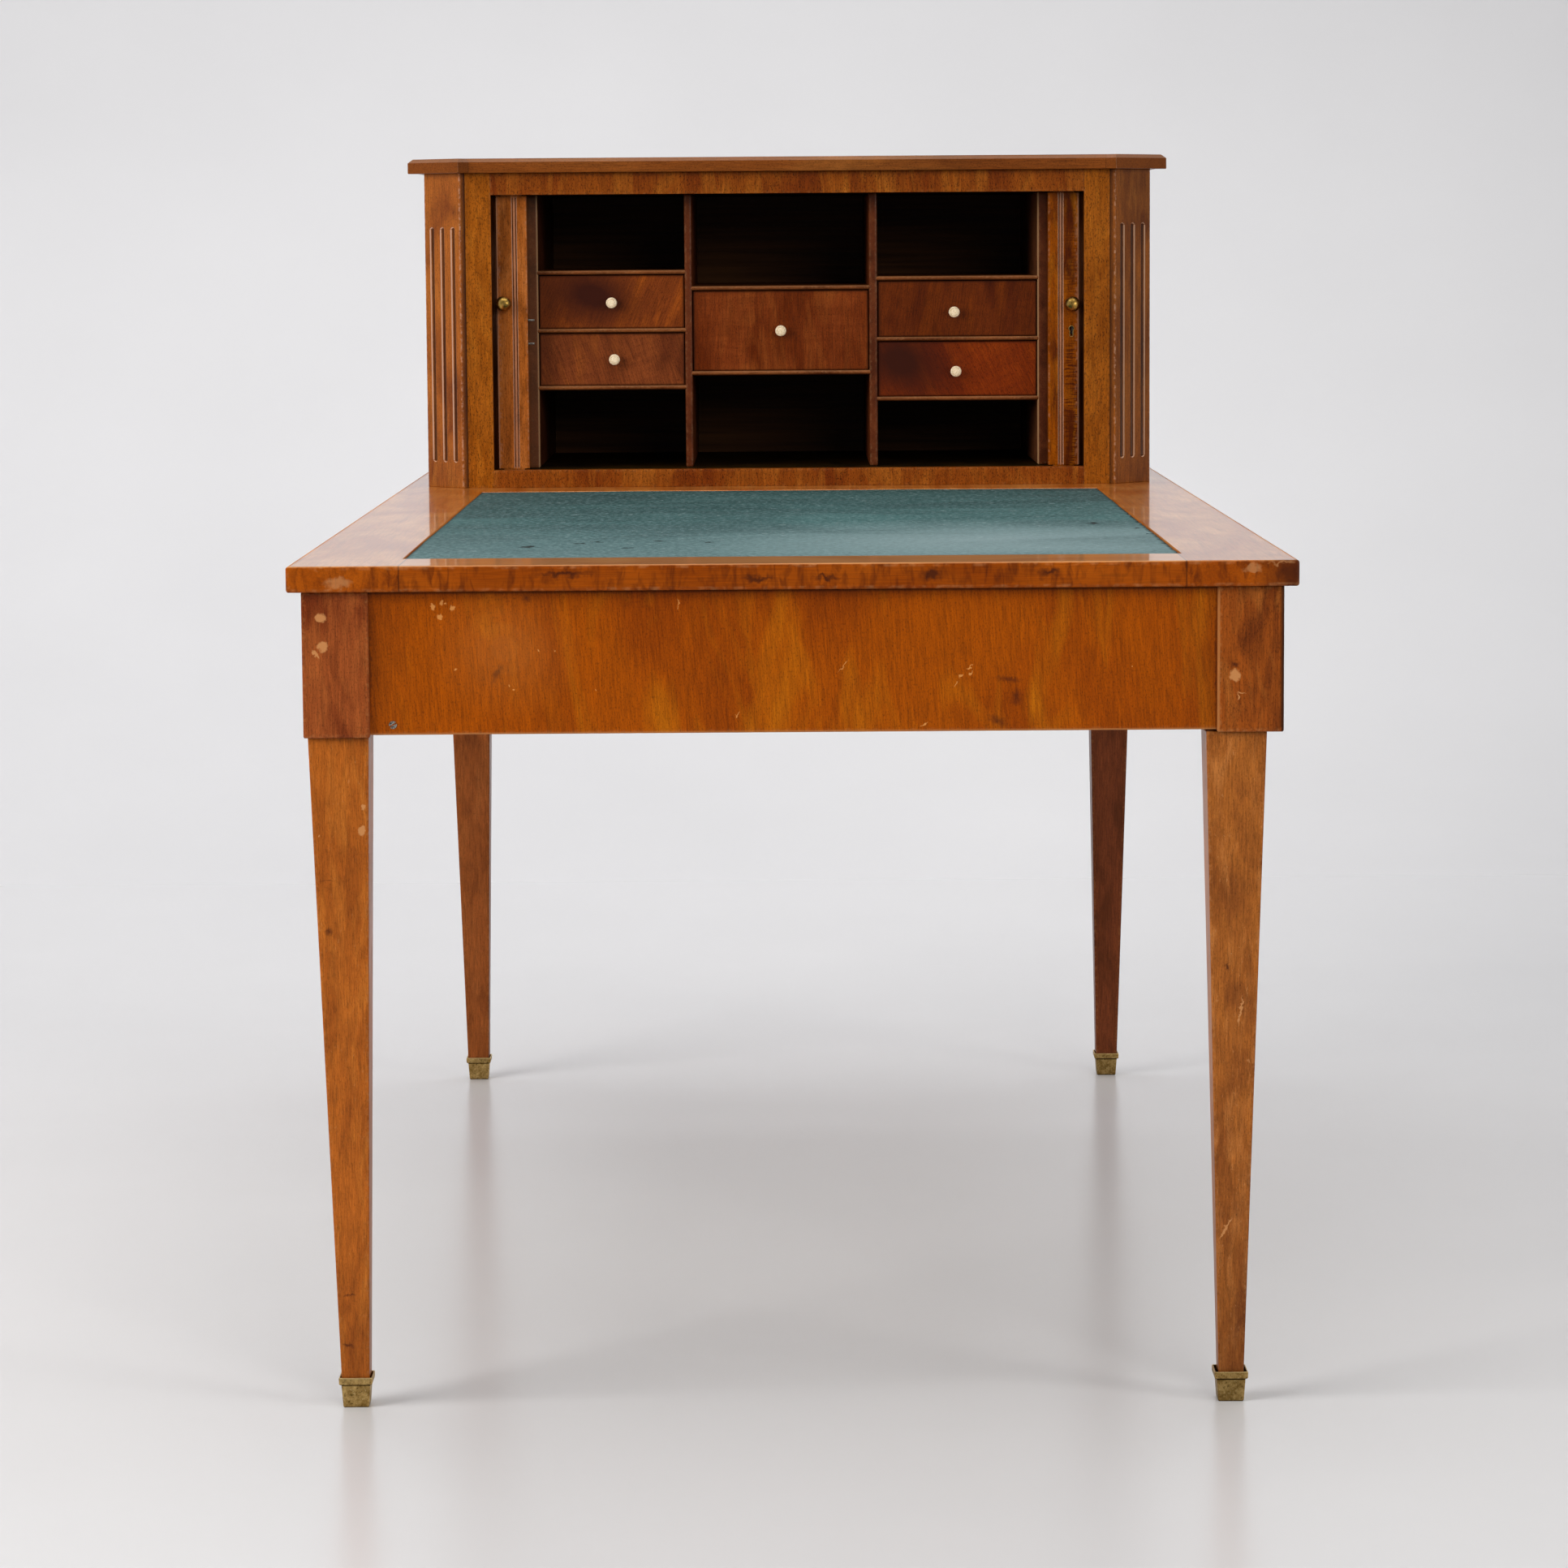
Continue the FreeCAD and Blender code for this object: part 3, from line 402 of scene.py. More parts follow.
# Mahogany sawn on the quarter: straight fibres upright, redder than the aprons.
post_finishes = {
    "left": mahogany(
        "post_left", "#6C2E10", "#8C461E", "#9A5224", cut=(0.1, 0.6, 0.3), patch=0.035, ribbon=0.0028,
        wear=0.25,
        pale_marks=on_front(-post_out_y, [
            (-0.4165, 0.7185, 0.0058, 0.0046, 0), (-0.4155, 0.6935, 0.0056, 0.0052, 0),
            (-0.4215, 0.687, 0.0014, 0.006, -35)])),
    "right": mahogany(
        "post_right", "#68300C", "#8C4512", "#9C5820", cut=(0.4, 0.3, 0.9), patch=0.03, ribbon=0.0028,
        wear=0.3, pores=0.45,
        pale_marks=on_front(-post_out_y, [
            (0.3908, 0.6625, 0.0052, 0.0062, 0), (0.396, 0.6468, 0.005, 0.0007, 0),
            (0.3935, 0.643, 0.0006, 0.004, 10)]),
        # Two of the dark marks are strips of painted shade along the outer edge.
        dark_marks=on_front(-post_out_y, [
            (0.3905, 0.6715, 0.0055, 0.003, 0), (0.4345, 0.70, 0.0016, 0.035, 0),
            (0.4345, 0.64, 0.0013, 0.02, 0)])),
}
for end, way in (("near", -1), ("far", 1)):
    for side, hand in hands.items():
        points, faces, rim = board(hand * post_out_x, hand * (post_out_x - post_width), way * post_out_y,
                                   way * (post_out_y - post_width), frieze_low, frieze_high, post_arris)
        if (end, side) == ("near", "right"):
            # This post's outer front arris is painted black, as shade, and the inner one is pale all along.
            out, by_front = points[:, 0], (rim > 0) & (points[:, 1] < -post_out_y + 0.002)
            rim = np.where(by_front & (out > post_out_x - 0.002), -1, rim)
            rim = np.where(by_front & (out < post_out_x - post_width + 0.002), 1.6, rim)
        corner = end + "_" + side
        piece(corner + "_post", (points, faces, rim), post_finishes[side], "frieze_mahogany", "desk",
              "corner_post_" + corner)


# The aprons: boards tenoned into the posts, their outer faces veneered with mahogany laid upright.
# The near one has golden figure, chips in its polish, a knot and a screw low on its left.
apron_low, apron_face_x, apron_face_y = 0.614, 0.428, 0.882
apron_thickness, apron_arris = 0.022, 0.0009
# The boards run a little way into the posts.
apron_half_x, apron_half_y = 0.379, 0.833
front = -apron_face_y
# Across, up and size in millimetres of each chip, and with its turn of each scratch.
chips = [(-0.318, 0.727, 2.8), (-0.310, 0.731, 2.0), (-0.301, 0.726, 2.5), (-0.3117, 0.719, 2.8),
         (-0.3065, 0.7305, 1.2), (-0.2253, 0.688, 0.9), (-0.2116, 0.688, 1.1), (-0.2515, 0.6573, 1.3),
         (-0.247, 0.653, 0.9), (-0.176, 0.6526, 0.9), (-0.298, 0.672, 1.2), (0.3, 0.671, 0.8)]
scratches = [(0.1566, 0.6705, 5.0, -40), (0.1575, 0.6655, 3.0, -60), (0.148, 0.663, 2.5, -50),
             (0.1437, 0.6561, 2.6, -50), (0.1156, 0.6205, 4.5, -35), (0.0446, 0.6727, 8.0, -50),
             (-0.1012, 0.729, 5.0, 90), (-0.05, 0.63, 4.0, -60)]
apron_pale = on_front(front, [(x, z, 0.001 * r, 0.0012 * r, 0) for x, z, r in chips])
apron_pale += on_front(front, [(x, z, 0.001 * r, 0.0006, turn) for x, z, r, turn in scratches])
# Five stains, and painted shadow lines in the corners beside the posts.
apron_dark = on_front(front, [
    (-0.2348, 0.7345, 0.0045, 0.006, 30), (0.1904, 0.66, 0.014, 0.0035, 8),
    (0.1976, 0.6436, 0.006, 0.010, 15), (0.181, 0.6227, 0.012, 0.006, 25), (-0.262, 0.668, 0.004, 0.012, 25),
    (-0.3748, 0.678, 0.0026, 0.09, 0), (0.3748, 0.678, 0.0026, 0.09, 0)])
# The face is darker towards both ends, and paler and more golden left of the middle.
apron_dark += [((hand * 0.365, front, 0.678), (0.04, 0.03, 0.12), 0, 0.2) for hand in (-1, 1)]
apron_pale += [((-0.255, front, 0.69), (0.018 * k, 0.03, 0.016 * k), 12, 0.2 - 0.04 * k)
               for k in (1, 2, 3, 4)]
# Mahogany veneer, upright and slightly leaning: warm golden orange, fine fibres, broad soft clouds.
apron_front_finish = mahogany(
    "veneer_near_apron", "#863A00", "#974600", "#AA5F06", lean=4.0, cut=(0.13, 0, 0.05), patch=0.085,
    ribbon=0.0045, ribbons=0.32, pale_marks=apron_pale, dark_marks=apron_dark, chip="#CC8A48", darkening=0.6)
apron_side_finish = mahogany("veneer_side_aprons", "#843C00", "#984A00", "#AE6412", lean=-3.0,
                             cut=(0.5, 0.2, 0.4), patch=0.11, ribbon=0.005)
points, faces, rim = board(-apron_half_x, apron_half_x, front, front + apron_thickness, apron_low,
                           frieze_high, apron_arris)
# The lower front arris is rubbed pale along its whole length, and painted shadow lies under the top.
rubbed = (points[:, 2] < apron_low + 0.001) & (points[:, 1] < front + 0.002)
rim = np.where(rubbed & (rim > 0), 1.7, rim)
rim = np.where((points[:, 2] > frieze_high - 0.001) & (rim > 0), -1, rim)
piece("near_apron", (points, faces, rim), apron_front_finish, "frieze_mahogany", "desk", "apron_near")
shape = board(-apron_half_x, apron_half_x, -front, -front - apron_thickness, apron_low, frieze_high,
              apron_arris)
piece("far_apron", shape, apron_side_finish, "frieze_mahogany", "desk", "apron_far")
for side, hand in hands.items():
    shape = board(hand * apron_face_x, hand * (apron_face_x - apron_thickness), -apron_half_y, apron_half_y,
                  apron_low, frieze_high, apron_arris)
    piece(side + "_apron", shape, apron_side_finish, "frieze_mahogany", "desk", "apron_" + side)


# The screw: a later repair, a slotted steel wood screw driven through the near apron and left grey.
# The slot is worn, and the head stands just proud of the veneer.
turned_steps = 48


def turned(profile, x, y, z):
    """A turned piece: a profile of (radius, distance towards the near end) spun about a line along Y."""
    angle = np.linspace(0, 2 * np.pi, turned_steps, endpoint=False)
    r, t = np.array(profile, float).T[..., None]
    grid = np.stack([x + r * np.cos(angle), y - t + 0 * angle, z + r * np.sin(angle)], axis=-1)
    return skin(grid, np.zeros(grid.shape[:2]))


def grey_steel(name, base, rough):
    """Bare steel gone dull: metal with fine scratches as noise and darker spots of rust."""
    finish, tree, place = new_finish(name)
    grit = add(tree, "TexNoise", {"Vector": place, "Scale": 900.0, "Detail": 3.0})[0]
    tone = coated(tree, base, ("#3B322C", grit, 0.52, 0.62))
    bump = add(tree, "Bump", {"Height": grit, "Strength": 0.4, "Distance": 0.0003})[0]
    return finished(finish, tree, {"Base Color": tone, "Metallic": 0.85, "Roughness": rough, "Normal": bump})


# Turned steel, weathered: mid grey, matt.
steel = grey_steel("turned_steel_dull", "#9C9890", 0.45)
screw_x, screw_z = -0.355, 0.623
head_profile = [(0.0036, -0.002), (0.0036, 0.0001), (0.0033, 0.0005), (0.002, 0.0008), (0.0004, 0.0009)]
head = turned(head_profile, screw_x, front, screw_z)
slot_depth, slot_half, slot_rise, slot_run = 0.0011, 0.0006, 0.5, 0.86
# The slot is a leaning cut across the dome: points inside it go down to its floor.
points = head[0]
across = (points[:, 2] - screw_z) * slot_run - (points[:, 0] - screw_x) * slot_rise
points[:, 1] += np.where((np.abs(across) < slot_half) & (points[:, 1] < front), slot_depth, 0)
piece("apron_screw_head", head, steel, "steel", "desk", "apron_screw")


# The table top: a frame of veneered boards round a sunk core, with a wide board under the cabinet.
# The edge is rounded by wear, and the near right corner is rubbed down to dark wood.

def top_veneer(name):
    """French-polished mahogany veneer. The fibres run along the table, and across it in the near board, which
    is butted between the side boards; the upright edge is darker and mottled, and its arrises are rubbed."""
    finish, tree, place = new_finish(name)
    near_end, near_half = -0.8032, 0.3465
    x, y, z = add(tree, "SeparateXYZ", {0: place})[:3]
    in_near = add(tree, "Math", {0: y, 1: near_end}, operation="LESS_THAN")[0]
    width = add(tree, "Math", {0: x}, operation="ABSOLUTE")[0]
    in_width = add(tree, "Math", {0: width, 1: near_half}, operation="LESS_THAN")[0]
    near = add(tree, "Math", {0: in_near, 1: in_width}, operation="MULTIPLY")[0]
    across = add(tree, "Mapping", {"Vector": place, "Rotation": (0, 0, math.pi / 2),
                                   "Location": (0.3, 0.2, 0)})[0]
    laid = add(tree, "Mix", {0: near, 4: place, 5: across}, data_type="VECTOR")[1]
    broad = stretched(tree, laid, (0.06, 0.18, 0.06), Detail=3.0, Distortion=0.8)
    stripe = stretched(tree, laid, (0.006, 0.132, 0.006), Detail=4.0, Roughness=0.6, Distortion=0.5)
    fibre = stretched(tree, laid, (0.0014, 0.042, 0.0014), Detail=3.0, Roughness=0.7)
    mottle = stretched(tree, place, (1 / 150, 1 / 150, 1 / 45), Detail=5.0, Distortion=0.9)
    edge = add(tree, "MapRange", {"Value": z, "From Min": 0.7648, "From Max": 0.7638})[0]
    side = coated(tree, "#7E3600", ("#9A4A06", broad, 0.35, 0.65))
    tone = coated(tree, "#A65A1E", ("#CB8642", broad, 0.35, 0.65), ("#7A3508", stripe, 0.5, 0.74, 0.45),
                  ("#E2A468", near, 0.0, 1.0, 0.35), (side, edge),
                  ("#4A1A02", mottle, 0.46, 0.7, 0.68, edge))
    tone = shaded(tree, tone, fibre, 0.32, 0.68, 0.8, 1.18)
    # A hairline of dirt shows where the near board meets the side boards.
    joint = add(tree, "Math", {0: width, 1: near_half}, operation="SUBTRACT")[0]
    joint = add(tree, "Math", {0: joint}, operation="ABSOLUTE")[0]
    tone = coated(tree, tone, ("#2C1003", joint, 0.0011, 0.0004, 0.6, in_near))
    # Across, up, and half width and height in millimetres of the marks on the near edge.
    dark = [(0.444, 0.753, 42, 40), (0.1218, 0.7546, 13, 7), (0.2252, 0.7555, 12, 6), (-0.03, 0.752, 20, 4),
            (-0.2, 0.757, 30, 4), (0.03, 0.7525, 14, 3)]
    pale = [(0.405, 0.758, 9, 3.5), (-0.4, 0.751, 16, 6), (-0.416, 0.7625, 4, 2), (-0.446, 0.745, 4, 3),
            (0.43, 0.763, 12, 1.5), (0.02, 0.7645, 6, 1.2)]
    ragged = shaken(tree, place, 150.0, 0.016)
    for rows, deep, soft, colour, most in ((dark, 0.02, 0.8, "#3A1606", 0.88),
                                           (pale, 0.012, 0.6, "#B98455", 0.45)):
        marks = on_front(-0.9, [(a, b, 0.001 * w, 0.001 * h, 0) for a, b, w, h in rows], deep)
        tone = coated(tree, tone, (colour, spots(tree, marks, ragged, soft), 0.0, 1.0, most))
    rim = add(tree, "Attribute", {}, attribute_name="rim")["Fac"]
    rim_pale = add(tree, "TexNoise", {"Vector": place, "Scale": 120.0, "Detail": 4.0})[0]
    tone = coated(tree, tone, ("#B98455", rim_pale, 0.48, 0.66, 0.25, rim))
    gloss = add(tree, "MapRange", {"Value": rim, "To Min": 0.3, "To Max": 0.5})[0]
    lacquer = add(tree, "Math", {0: rim, 1: edge}, operation="MAXIMUM")[0]
    lacquer = add(tree, "MapRange", {"Value": lacquer, "From Max": 0.6, "To Min": 0.62, "To Max": 0.05})[0]
    wavy = add(tree, "TexNoise", {"Vector": place, "Scale": 9.0, "Detail": 1.0})[0]
    wavy = add(tree, "Bump", {"Height": wavy, "Strength": 0.05, "Distance": 0.001})[0]
    return finished(finish, tree, {"Base Color": tone, "Roughness": gloss, "Normal": wavy, "IOR": 1.5,
                                   "Specular IOR Level": 0.1, "Coat Weight": lacquer,
                                   "Coat Roughness": 0.06, "Coat Normal": wavy})


top_low, top_high, top_half = 0.742, 0.765, np.array([0.446, 0.9])
window_half, window_centre, window_corner = np.array([0.349, 0.567]), np.array([0.0, -0.236]), 0.0004
edge_round, edge_lip = 0.0024, 0.0015
levels, inset, rim_rows = ends(top_low, top_high, edge_round, edge_lip)
# The rows go from the window's lower edge out over the rounded edge and back to the window, then wrap.
window_rows, pair = np.stack([window_half, window_half + 0.002]), np.ones(2)
half = np.concatenate([window_rows, top_half - inset[:, None], window_rows[::-1]])
centre = np.zeros_like(half)
centre[[0, 1, -2, -1]] = window_centre
radius = np.concatenate([window_corner * pair, np.maximum(edge_round - inset, window_corner),
                         window_corner * pair])
outline, on_arc = rounded_rectangles(half, radius, edge_lip)
heights = np.concatenate([top_low * pair, levels, top_high * pair])
rim = np.maximum(np.concatenate([0 * pair, rim_rows, 0 * pair])[:, None], on_arc[None])
rim[[0, 1, 2, -3, -2, -1]] = 0
# Mahogany veneer, French-polished: red-brown, seen at a low angle almost as a mirror.
top_finish = top_veneer("mahogany_veneer_top")
piece("table_top_frame", skin(raised(outline + centre[:, None], heights), rim, wrap=True), top_finish,
      "top_mahogany", "desk", "top_border_near", "top_border_left", "top_border_right", "top_far_board")


# The writing leather: one skin of green goat, glued on the sunk core and trimmed to the window.
# It is faded and scuffed, torn in two places and frayed along its right edge.

def writing_leather(name):
    """Dyed leather. The tone fades in slow clouds; it is lighter towards the near end and in a patch at
    the near right, as painted sheen, and darker towards the far end, as painted shade; pebble grain and dust
    are fine pale specks, scuffs are short streaks across the table, and tears are dark."""
    finish, tree, place = new_finish(name)
    # Seen almost along its surface, the grain has to be drawn coarse, and a little long in Y, to show.
    faded = stretched(tree, place, (1 / 3.5, 1 / 5, 1), Detail=4.0, Distortion=0.8)
    pebble = stretched(tree, place, (1 / 210, 1 / 125, 1), Detail=3.0, Roughness=0.7)
    scuffs = stretched(tree, place, (1 / 75, 1 / 44, 1), Detail=6.0, Roughness=0.75)
    y = add(tree, "SeparateXYZ", {0: place})[1]
    # A pale patch at the near right is painted sheen.
    sheen_patch = spots(tree, [((0.2, -0.6, 0.7647), (0.34, 0.36, 0.1), 0)], place, 1.0)
    uneven = add(tree, "MapRange", {"Value": faded, "From Min": 0.34, "From Max": 0.6, "To Min": 0.2,
                                    "To Max": 0.62})[0]
    # Across, along, and half width and length in millimetres of each tear.
    tears = [(-0.2452, -0.640, 7, 14), (-0.1969, -0.596, 6, 10), (-0.1831, -0.573, 4, 12),
             (-0.1536, -0.6705, 4, 10), (-0.1249, -0.5655, 4, 10), (-0.0777, -0.5934, 3, 8),
             (0.3016, -0.3295, 7, 24), (0.338, -0.42, 4, 12)]
    torn = [((a, b, 0.7647), (0.001 * w, 0.001 * l, 0.03), 0) for a, b, w, l in tears]
    torn = spots(tree, torn, shaken(tree, place, 120.0, 0.03), 0.4)
    rim = add(tree, "Attribute", {}, attribute_name="rim")["Fac"]
    # Lighter towards the near end is painted sheen, and darker towards the far end is painted shade.
    tone = coated(tree, "#264848", ("#3C6362", faded, 0.38, 0.62), ("#627F81", y, -0.25, -0.8, 0.72),
                  ("#243836", y, -0.2, 0.3, 0.6), ("#7C9697", pebble, 0.5, 0.74, 0.6),
                  ("#143230", pebble, 0.5, 0.28, 0.65), ("#A3B6B6", scuffs, 0.6, 0.72, 0.6),
                  ("#93A7AA", sheen_patch, 0.0, 1.0, 1.0, uneven), ("#0A1A1A", torn), ("#12302E", rim))
    bump = add(tree, "Bump", {"Height": pebble, "Strength": 0.3, "Distance": 0.0004})[0]
    bump = add(tree, "Bump", {"Height": torn, "Strength": 0.8, "Distance": 0.001, "Normal": bump},
               invert=True)[0]
    return finished(finish, tree, {"Base Color": tone, "Roughness": 0.7, "Normal": bump, "IOR": 1.45,
                                   "Specular IOR Level": 0.2})


skin_half, skin_top, skin_thick = window_half - 0.0004, 0.7646, 0.0012
columns, rows = 176, 286
u, v = np.meshgrid(np.linspace(-1, 1, columns), np.linspace(-1, 1, rows))
skin_x, skin_y = window_centre[0] + skin_half[0] * u, window_centre[1] + skin_half[1] * v
# Sums of sines stand for the slow swell of the glued skin, and quicker ones for the ragged right edge.
swell = 0.00016 * np.sin(19 * skin_x + 2.0) * np.sin(11 * skin_y + 0.7)
swell += 0.0001 * np.sin(43 * skin_x - 31 * skin_y)
fray = np.sin(151 * skin_y) * np.sin(67 * skin_y + 1.0)
fray += 0.6 * np.sin(397 * skin_y + 0.5) * np.sin(89 * skin_y)
fray_reach, fray_band, edge_drop, edge_band = 0.0036, 0.015, 0.00018, 0.01
frayed = np.clip((u - 1 + fray_band) / fray_band, 0, 1) * np.clip(1.4 - np.abs(v + 0.35) * 1.2, 0, 1)
skin_x = skin_x - fray_reach * frayed * fray ** 2
to_edge = np.maximum(np.abs(u), np.abs(v))
skin_z = skin_top + swell - edge_drop * np.clip(to_edge - 1 + edge_band, 0, 1) / edge_band
first = np.arange(rows - 1)[:, None] * columns + np.arange(columns - 1)[None]
faces = np.stack([first, first + 1, first + columns + 1, first + columns], axis=-1).reshape(-1, 4).tolist()
points = np.stack([skin_x, skin_y, skin_z], axis=-1).reshape(-1, 3)
shape = (points, faces, (to_edge > 0.995).reshape(-1) * 0.7)
# Goat leather, dyed through and waxed: teal green, pebbled, half matt.
leather_finish = writing_leather("goat_leather_green")
leather = piece("writing_leather_skin", shape, leather_finish, "writing_leather", "desk", "writing_leather")
thick = leather.modifiers.new("thickness", "SOLIDIFY")
thick.thickness, thick.offset = skin_thick, -1.0


# Inside and under the table: the core board under the leather and the cross rails between the aprons,
# sawn pine left bare. The frame's own solids are these boards, so they keep their shape.

def bare_pine(name, deep, middle, grain):
    """Sawn pine gone brown with age: rings as stretched noise, matt."""
    finish, tree, place = new_finish(name)
    size = [0.009] * 3
    size[grain] = 0.25
    rings = stretched(tree, place, size, Detail=5.0, Roughness=0.6, Distortion=0.4)
    tone = coated(tree, middle, (deep, rings, 0.35, 0.65))
    bump = add(tree, "Bump", {"Height": rings, "Strength": 0.3, "Distance": 0.0005})[0]
    return finished(finish, tree, {"Base Color": tone, "Roughness": 0.65, "Normal": bump, "IOR": 1.45})


def dress(finish, *nodes):
    """Gives a finish to nodes of the frame that keep their shape."""
    for node in nodes:
        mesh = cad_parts[node].data
        mesh.materials.clear()
        mesh.materials.append(finish)


# Pine, sawn and unpolished: dull tan under the table, where it never sees light.
under_pine = bare_pine("sawn_pine_under", "#6E4C2B", "#A27B4C", 0)
dress(under_pine, "top_core", "cross_rails")


# The cabinet's carcass: floor, ceiling and two sides of mahogany, dovetailed, with a pine back nailed in.
# The inside is painted almost black, as the shade in the pigeonholes.
dark_inside = mahogany("shade_dark_inside", "#120A00", "#221400", "#2E1C02", grain=1, cut=(0.2, 0.5, 0.1),
                       patch=0.05, polish=0.55, coat=0.0, wear=0.0)
dress(dark_inside, "cabinet_floor", "cabinet_ceiling")
carcass_low, carcass_high = 0.765, 1.125
side_out, side_thickness, side_front, side_back = 0.413, 0.014, 0.4635, 0.873
# Mahogany boards, polished: mid brown, fibres run up the side.
side_finish = mahogany("cabinet_sides", "#743C08", "#8A4C10", "#985C1E", cut=(0.6, 0.1, 0.7), patch=0.08)
for side, hand in hands.items():
    shape = board(hand * side_out, hand * (side_out - side_thickness), side_front, side_back, carcass_low,
                  carcass_high, 0.0008)
    piece(side + "_cabinet_side", shape, side_finish, "cabinet_mahogany", "desk", "cabinet_side_" + side)
# Pine, sawn: brown with age at the back, where it was never polished, and painted darker, as the shade at the
# back of the pigeonholes.
back_pine = bare_pine("sawn_pine_back", "#3B2413", "#5C3B20", 0)
inner_half, back_inner = side_out - side_thickness, 0.863
shape = board(-inner_half, inner_half, back_inner, side_back, carcass_low, carcass_high, 0.0006)
piece("cabinet_back_board", shape, back_pine, "inner_pine", "desk", "cabinet_back")


# The corner pilasters: canted mahogany boards, standing proud of the front and the side, with three
# round-ended flutes worked with a gouge. The left one catches the light.

def carved(outline, normal, levels, depth, rim):
    """An outline carried up level by level, its points sunk along their normals by a depth for each level
    and point, and closed flat at both ends."""
    flat = outline[None] - normal[None] * depth[..., None]
    return skin(raised(flat, levels), np.broadcast_to(rim, flat.shape[:2]))


def corner_points(a, b, c, radius, lip=0.0015):
    """The points that round off corner b between a and c: a lip, an arc, a lip."""
    to_a, to_c = (a - b) / np.linalg.norm(a - b), (c - b) / np.linalg.norm(c - b)
    half_angle = math.acos(np.clip(to_a @ to_c, -1, 1)) / 2
    run = radius / math.tan(half_angle)
    t = np.linspace(0, 1, arc_steps + 1)[:, None]
    start, end = b + to_a * run, b + to_c * run
    arc = (1 - t) ** 2 * start + 2 * t * (1 - t) * b + t ** 2 * end
    return np.concatenate([[start + to_a * lip], arc, [end + to_c * lip]])


flute_radius, flute_depth, flute_pitch = 0.0038, 0.0028, 0.018
flute_low, flute_high = 0.794 + flute_radius, 1.064 - flute_radius
mouth = math.sqrt(flute_radius ** 2 - (flute_radius - flute_depth) ** 2)
# The right corner's plan, from the front face round to the side and back along the inside.
plan = np.array([(0.3695, 0.440), (0.3695, 0.420), (0.37516, 0.41434), (0.41866, 0.45784),
                 (side_out, side_front), (inner_half, side_front)])
face_start, face_end = plan[2], plan[3]
face_length = np.linalg.norm(face_end - face_start)
face_along = (face_end - face_start) / face_length
face_normal = np.array([face_along[1], -face_along[0]])
half_mouth = np.array([0.35, 0.65, 0.85, 0.96, 1.0, 1.06]) * mouth
within = np.concatenate([-half_mouth[::-1], [0], half_mouth])
face_u = np.concatenate([face_length / 2 + k * flute_pitch + within for k in (-1, 0, 1)])
end_rows = np.array([1.06, 1.0, 0.94, 0.85, 0.72, 0.56, 0.38, 0.19, 0.0]) * mouth
levels = np.concatenate([[carcass_low, carcass_low + 0.001], flute_low - end_rows,
                         flute_high + end_rows[::-1], [carcass_high - 0.001, carcass_high]])
first_arc = corner_points(plan[1], plan[2], plan[3], 0.0011)
last_arc = corner_points(plan[2], plan[3], plan[4], 0.0011)
outline = np.concatenate([
    plan[:2], plan[1:2] + 0.1 * (plan[2:3] - plan[1:2]), first_arc, face_start + face_along * face_u[:, None],
    last_arc, plan[4:5] + 0.1 * (plan[3:4] - plan[4:5]), plan[4:]])
face_from = 3 + len(first_arc)
face_columns = slice(face_from, face_from + len(face_u))
beyond = np.maximum(np.maximum(flute_low - levels, levels - flute_high), 0)[:, None]
nearest = np.abs(((face_u - face_length / 2 + flute_pitch / 2) % flute_pitch) - flute_pitch / 2)[None]
gouge = np.sqrt(np.maximum(flute_radius ** 2 - nearest ** 2 - beyond ** 2, 0)) - (flute_radius - flute_depth)
depth = np.zeros((len(levels), len(outline)))
depth[:, face_columns] = np.maximum(gouge, 0)
rim_columns = np.zeros(len(outline))
rim_columns[4:2 + len(first_arc)] = 1
rim_columns[-2 - len(last_arc):-4] = 1
# The strip where the pilaster meets the stile is painted dark, as shade.
rim_columns[:4] = -1, -1, -0.9, -0.2
pilaster_rim = np.repeat(rim_columns[None], len(levels), axis=0)
off_mouth = np.sqrt(nearest ** 2 + beyond ** 2) / mouth
# Inside each flute is painted dark, as shade, and its rim pale, as a highlight.
pilaster_rim[:, face_columns] = np.where(off_mouth < 0.8, -0.9, np.where(off_mouth < 1.03, 2.0, 0))
normals = np.broadcast_to(face_normal, outline.shape)
# Mahogany, gouged and polished: warm brown with the flutes' rims painted pale, as highlights; the right one
# is painted darker, as shade.
pilaster_finishes = {
    "left": mahogany("pilaster_left", "#743810", "#9C561C", "#AA6626", cut=(0.8, 0.3, 0.2), patch=0.05,
                     rim_pale="#D8B096", wear=0.3, coat=0.2,
                     dark_marks=[((-0.396, 0.44, 0.775), (0.05, 0.06, 0.05), 0, 0.3)]),
    "right": mahogany("pilaster_right", "#623008", "#864A16", "#92561E", cut=(0.3, 0.8, 0.6), patch=0.05,
                      rim_pale="#CDA588", wear=0.35, coat=0.2),
}
for side, hand in hands.items():
    shape = carved((outline * (hand, 1))[::hand], (normals * (hand, 1))[::hand], levels, depth[:, ::hand],
                   pilaster_rim[:, ::hand])
    piece(side + "_pilaster", shape, pilaster_finishes[side], "cabinet_mahogany", "desk", "pilaster_" + side)


# The cabinet's front frame: two upright stiles, and a rail under and over the opening, veneered across
# with strips of mahogany of different colour. All lie flush and are glued to the carcass.
front_face, front_inner, stile_out, opening_half = 0.420, 0.440, 0.3695, 0.340
hollow_low, hollow_high = 0.785, 1.100
# Mahogany veneer, upright: the stiles speckled with open pores, and the right one painted darker, as shade.
stile_finish = mahogany("veneer_stiles", "#864608", "#965210", "#A25E16", cut=(0.15, 0.35, 0.55), patch=0.02,
                        ribbon=0.006, ribbons=0.3, pores=0.75,
                        dark_marks=[((0.358, 0.42, 0.94), (0.03, 0.03, 0.4), 0, 0.22)])
points, faces, rim = joined([board(hand * opening_half, hand * stile_out, front_face, front_inner,
                                   carcass_low, carcass_high, 0.0004) for hand in hands.values()])
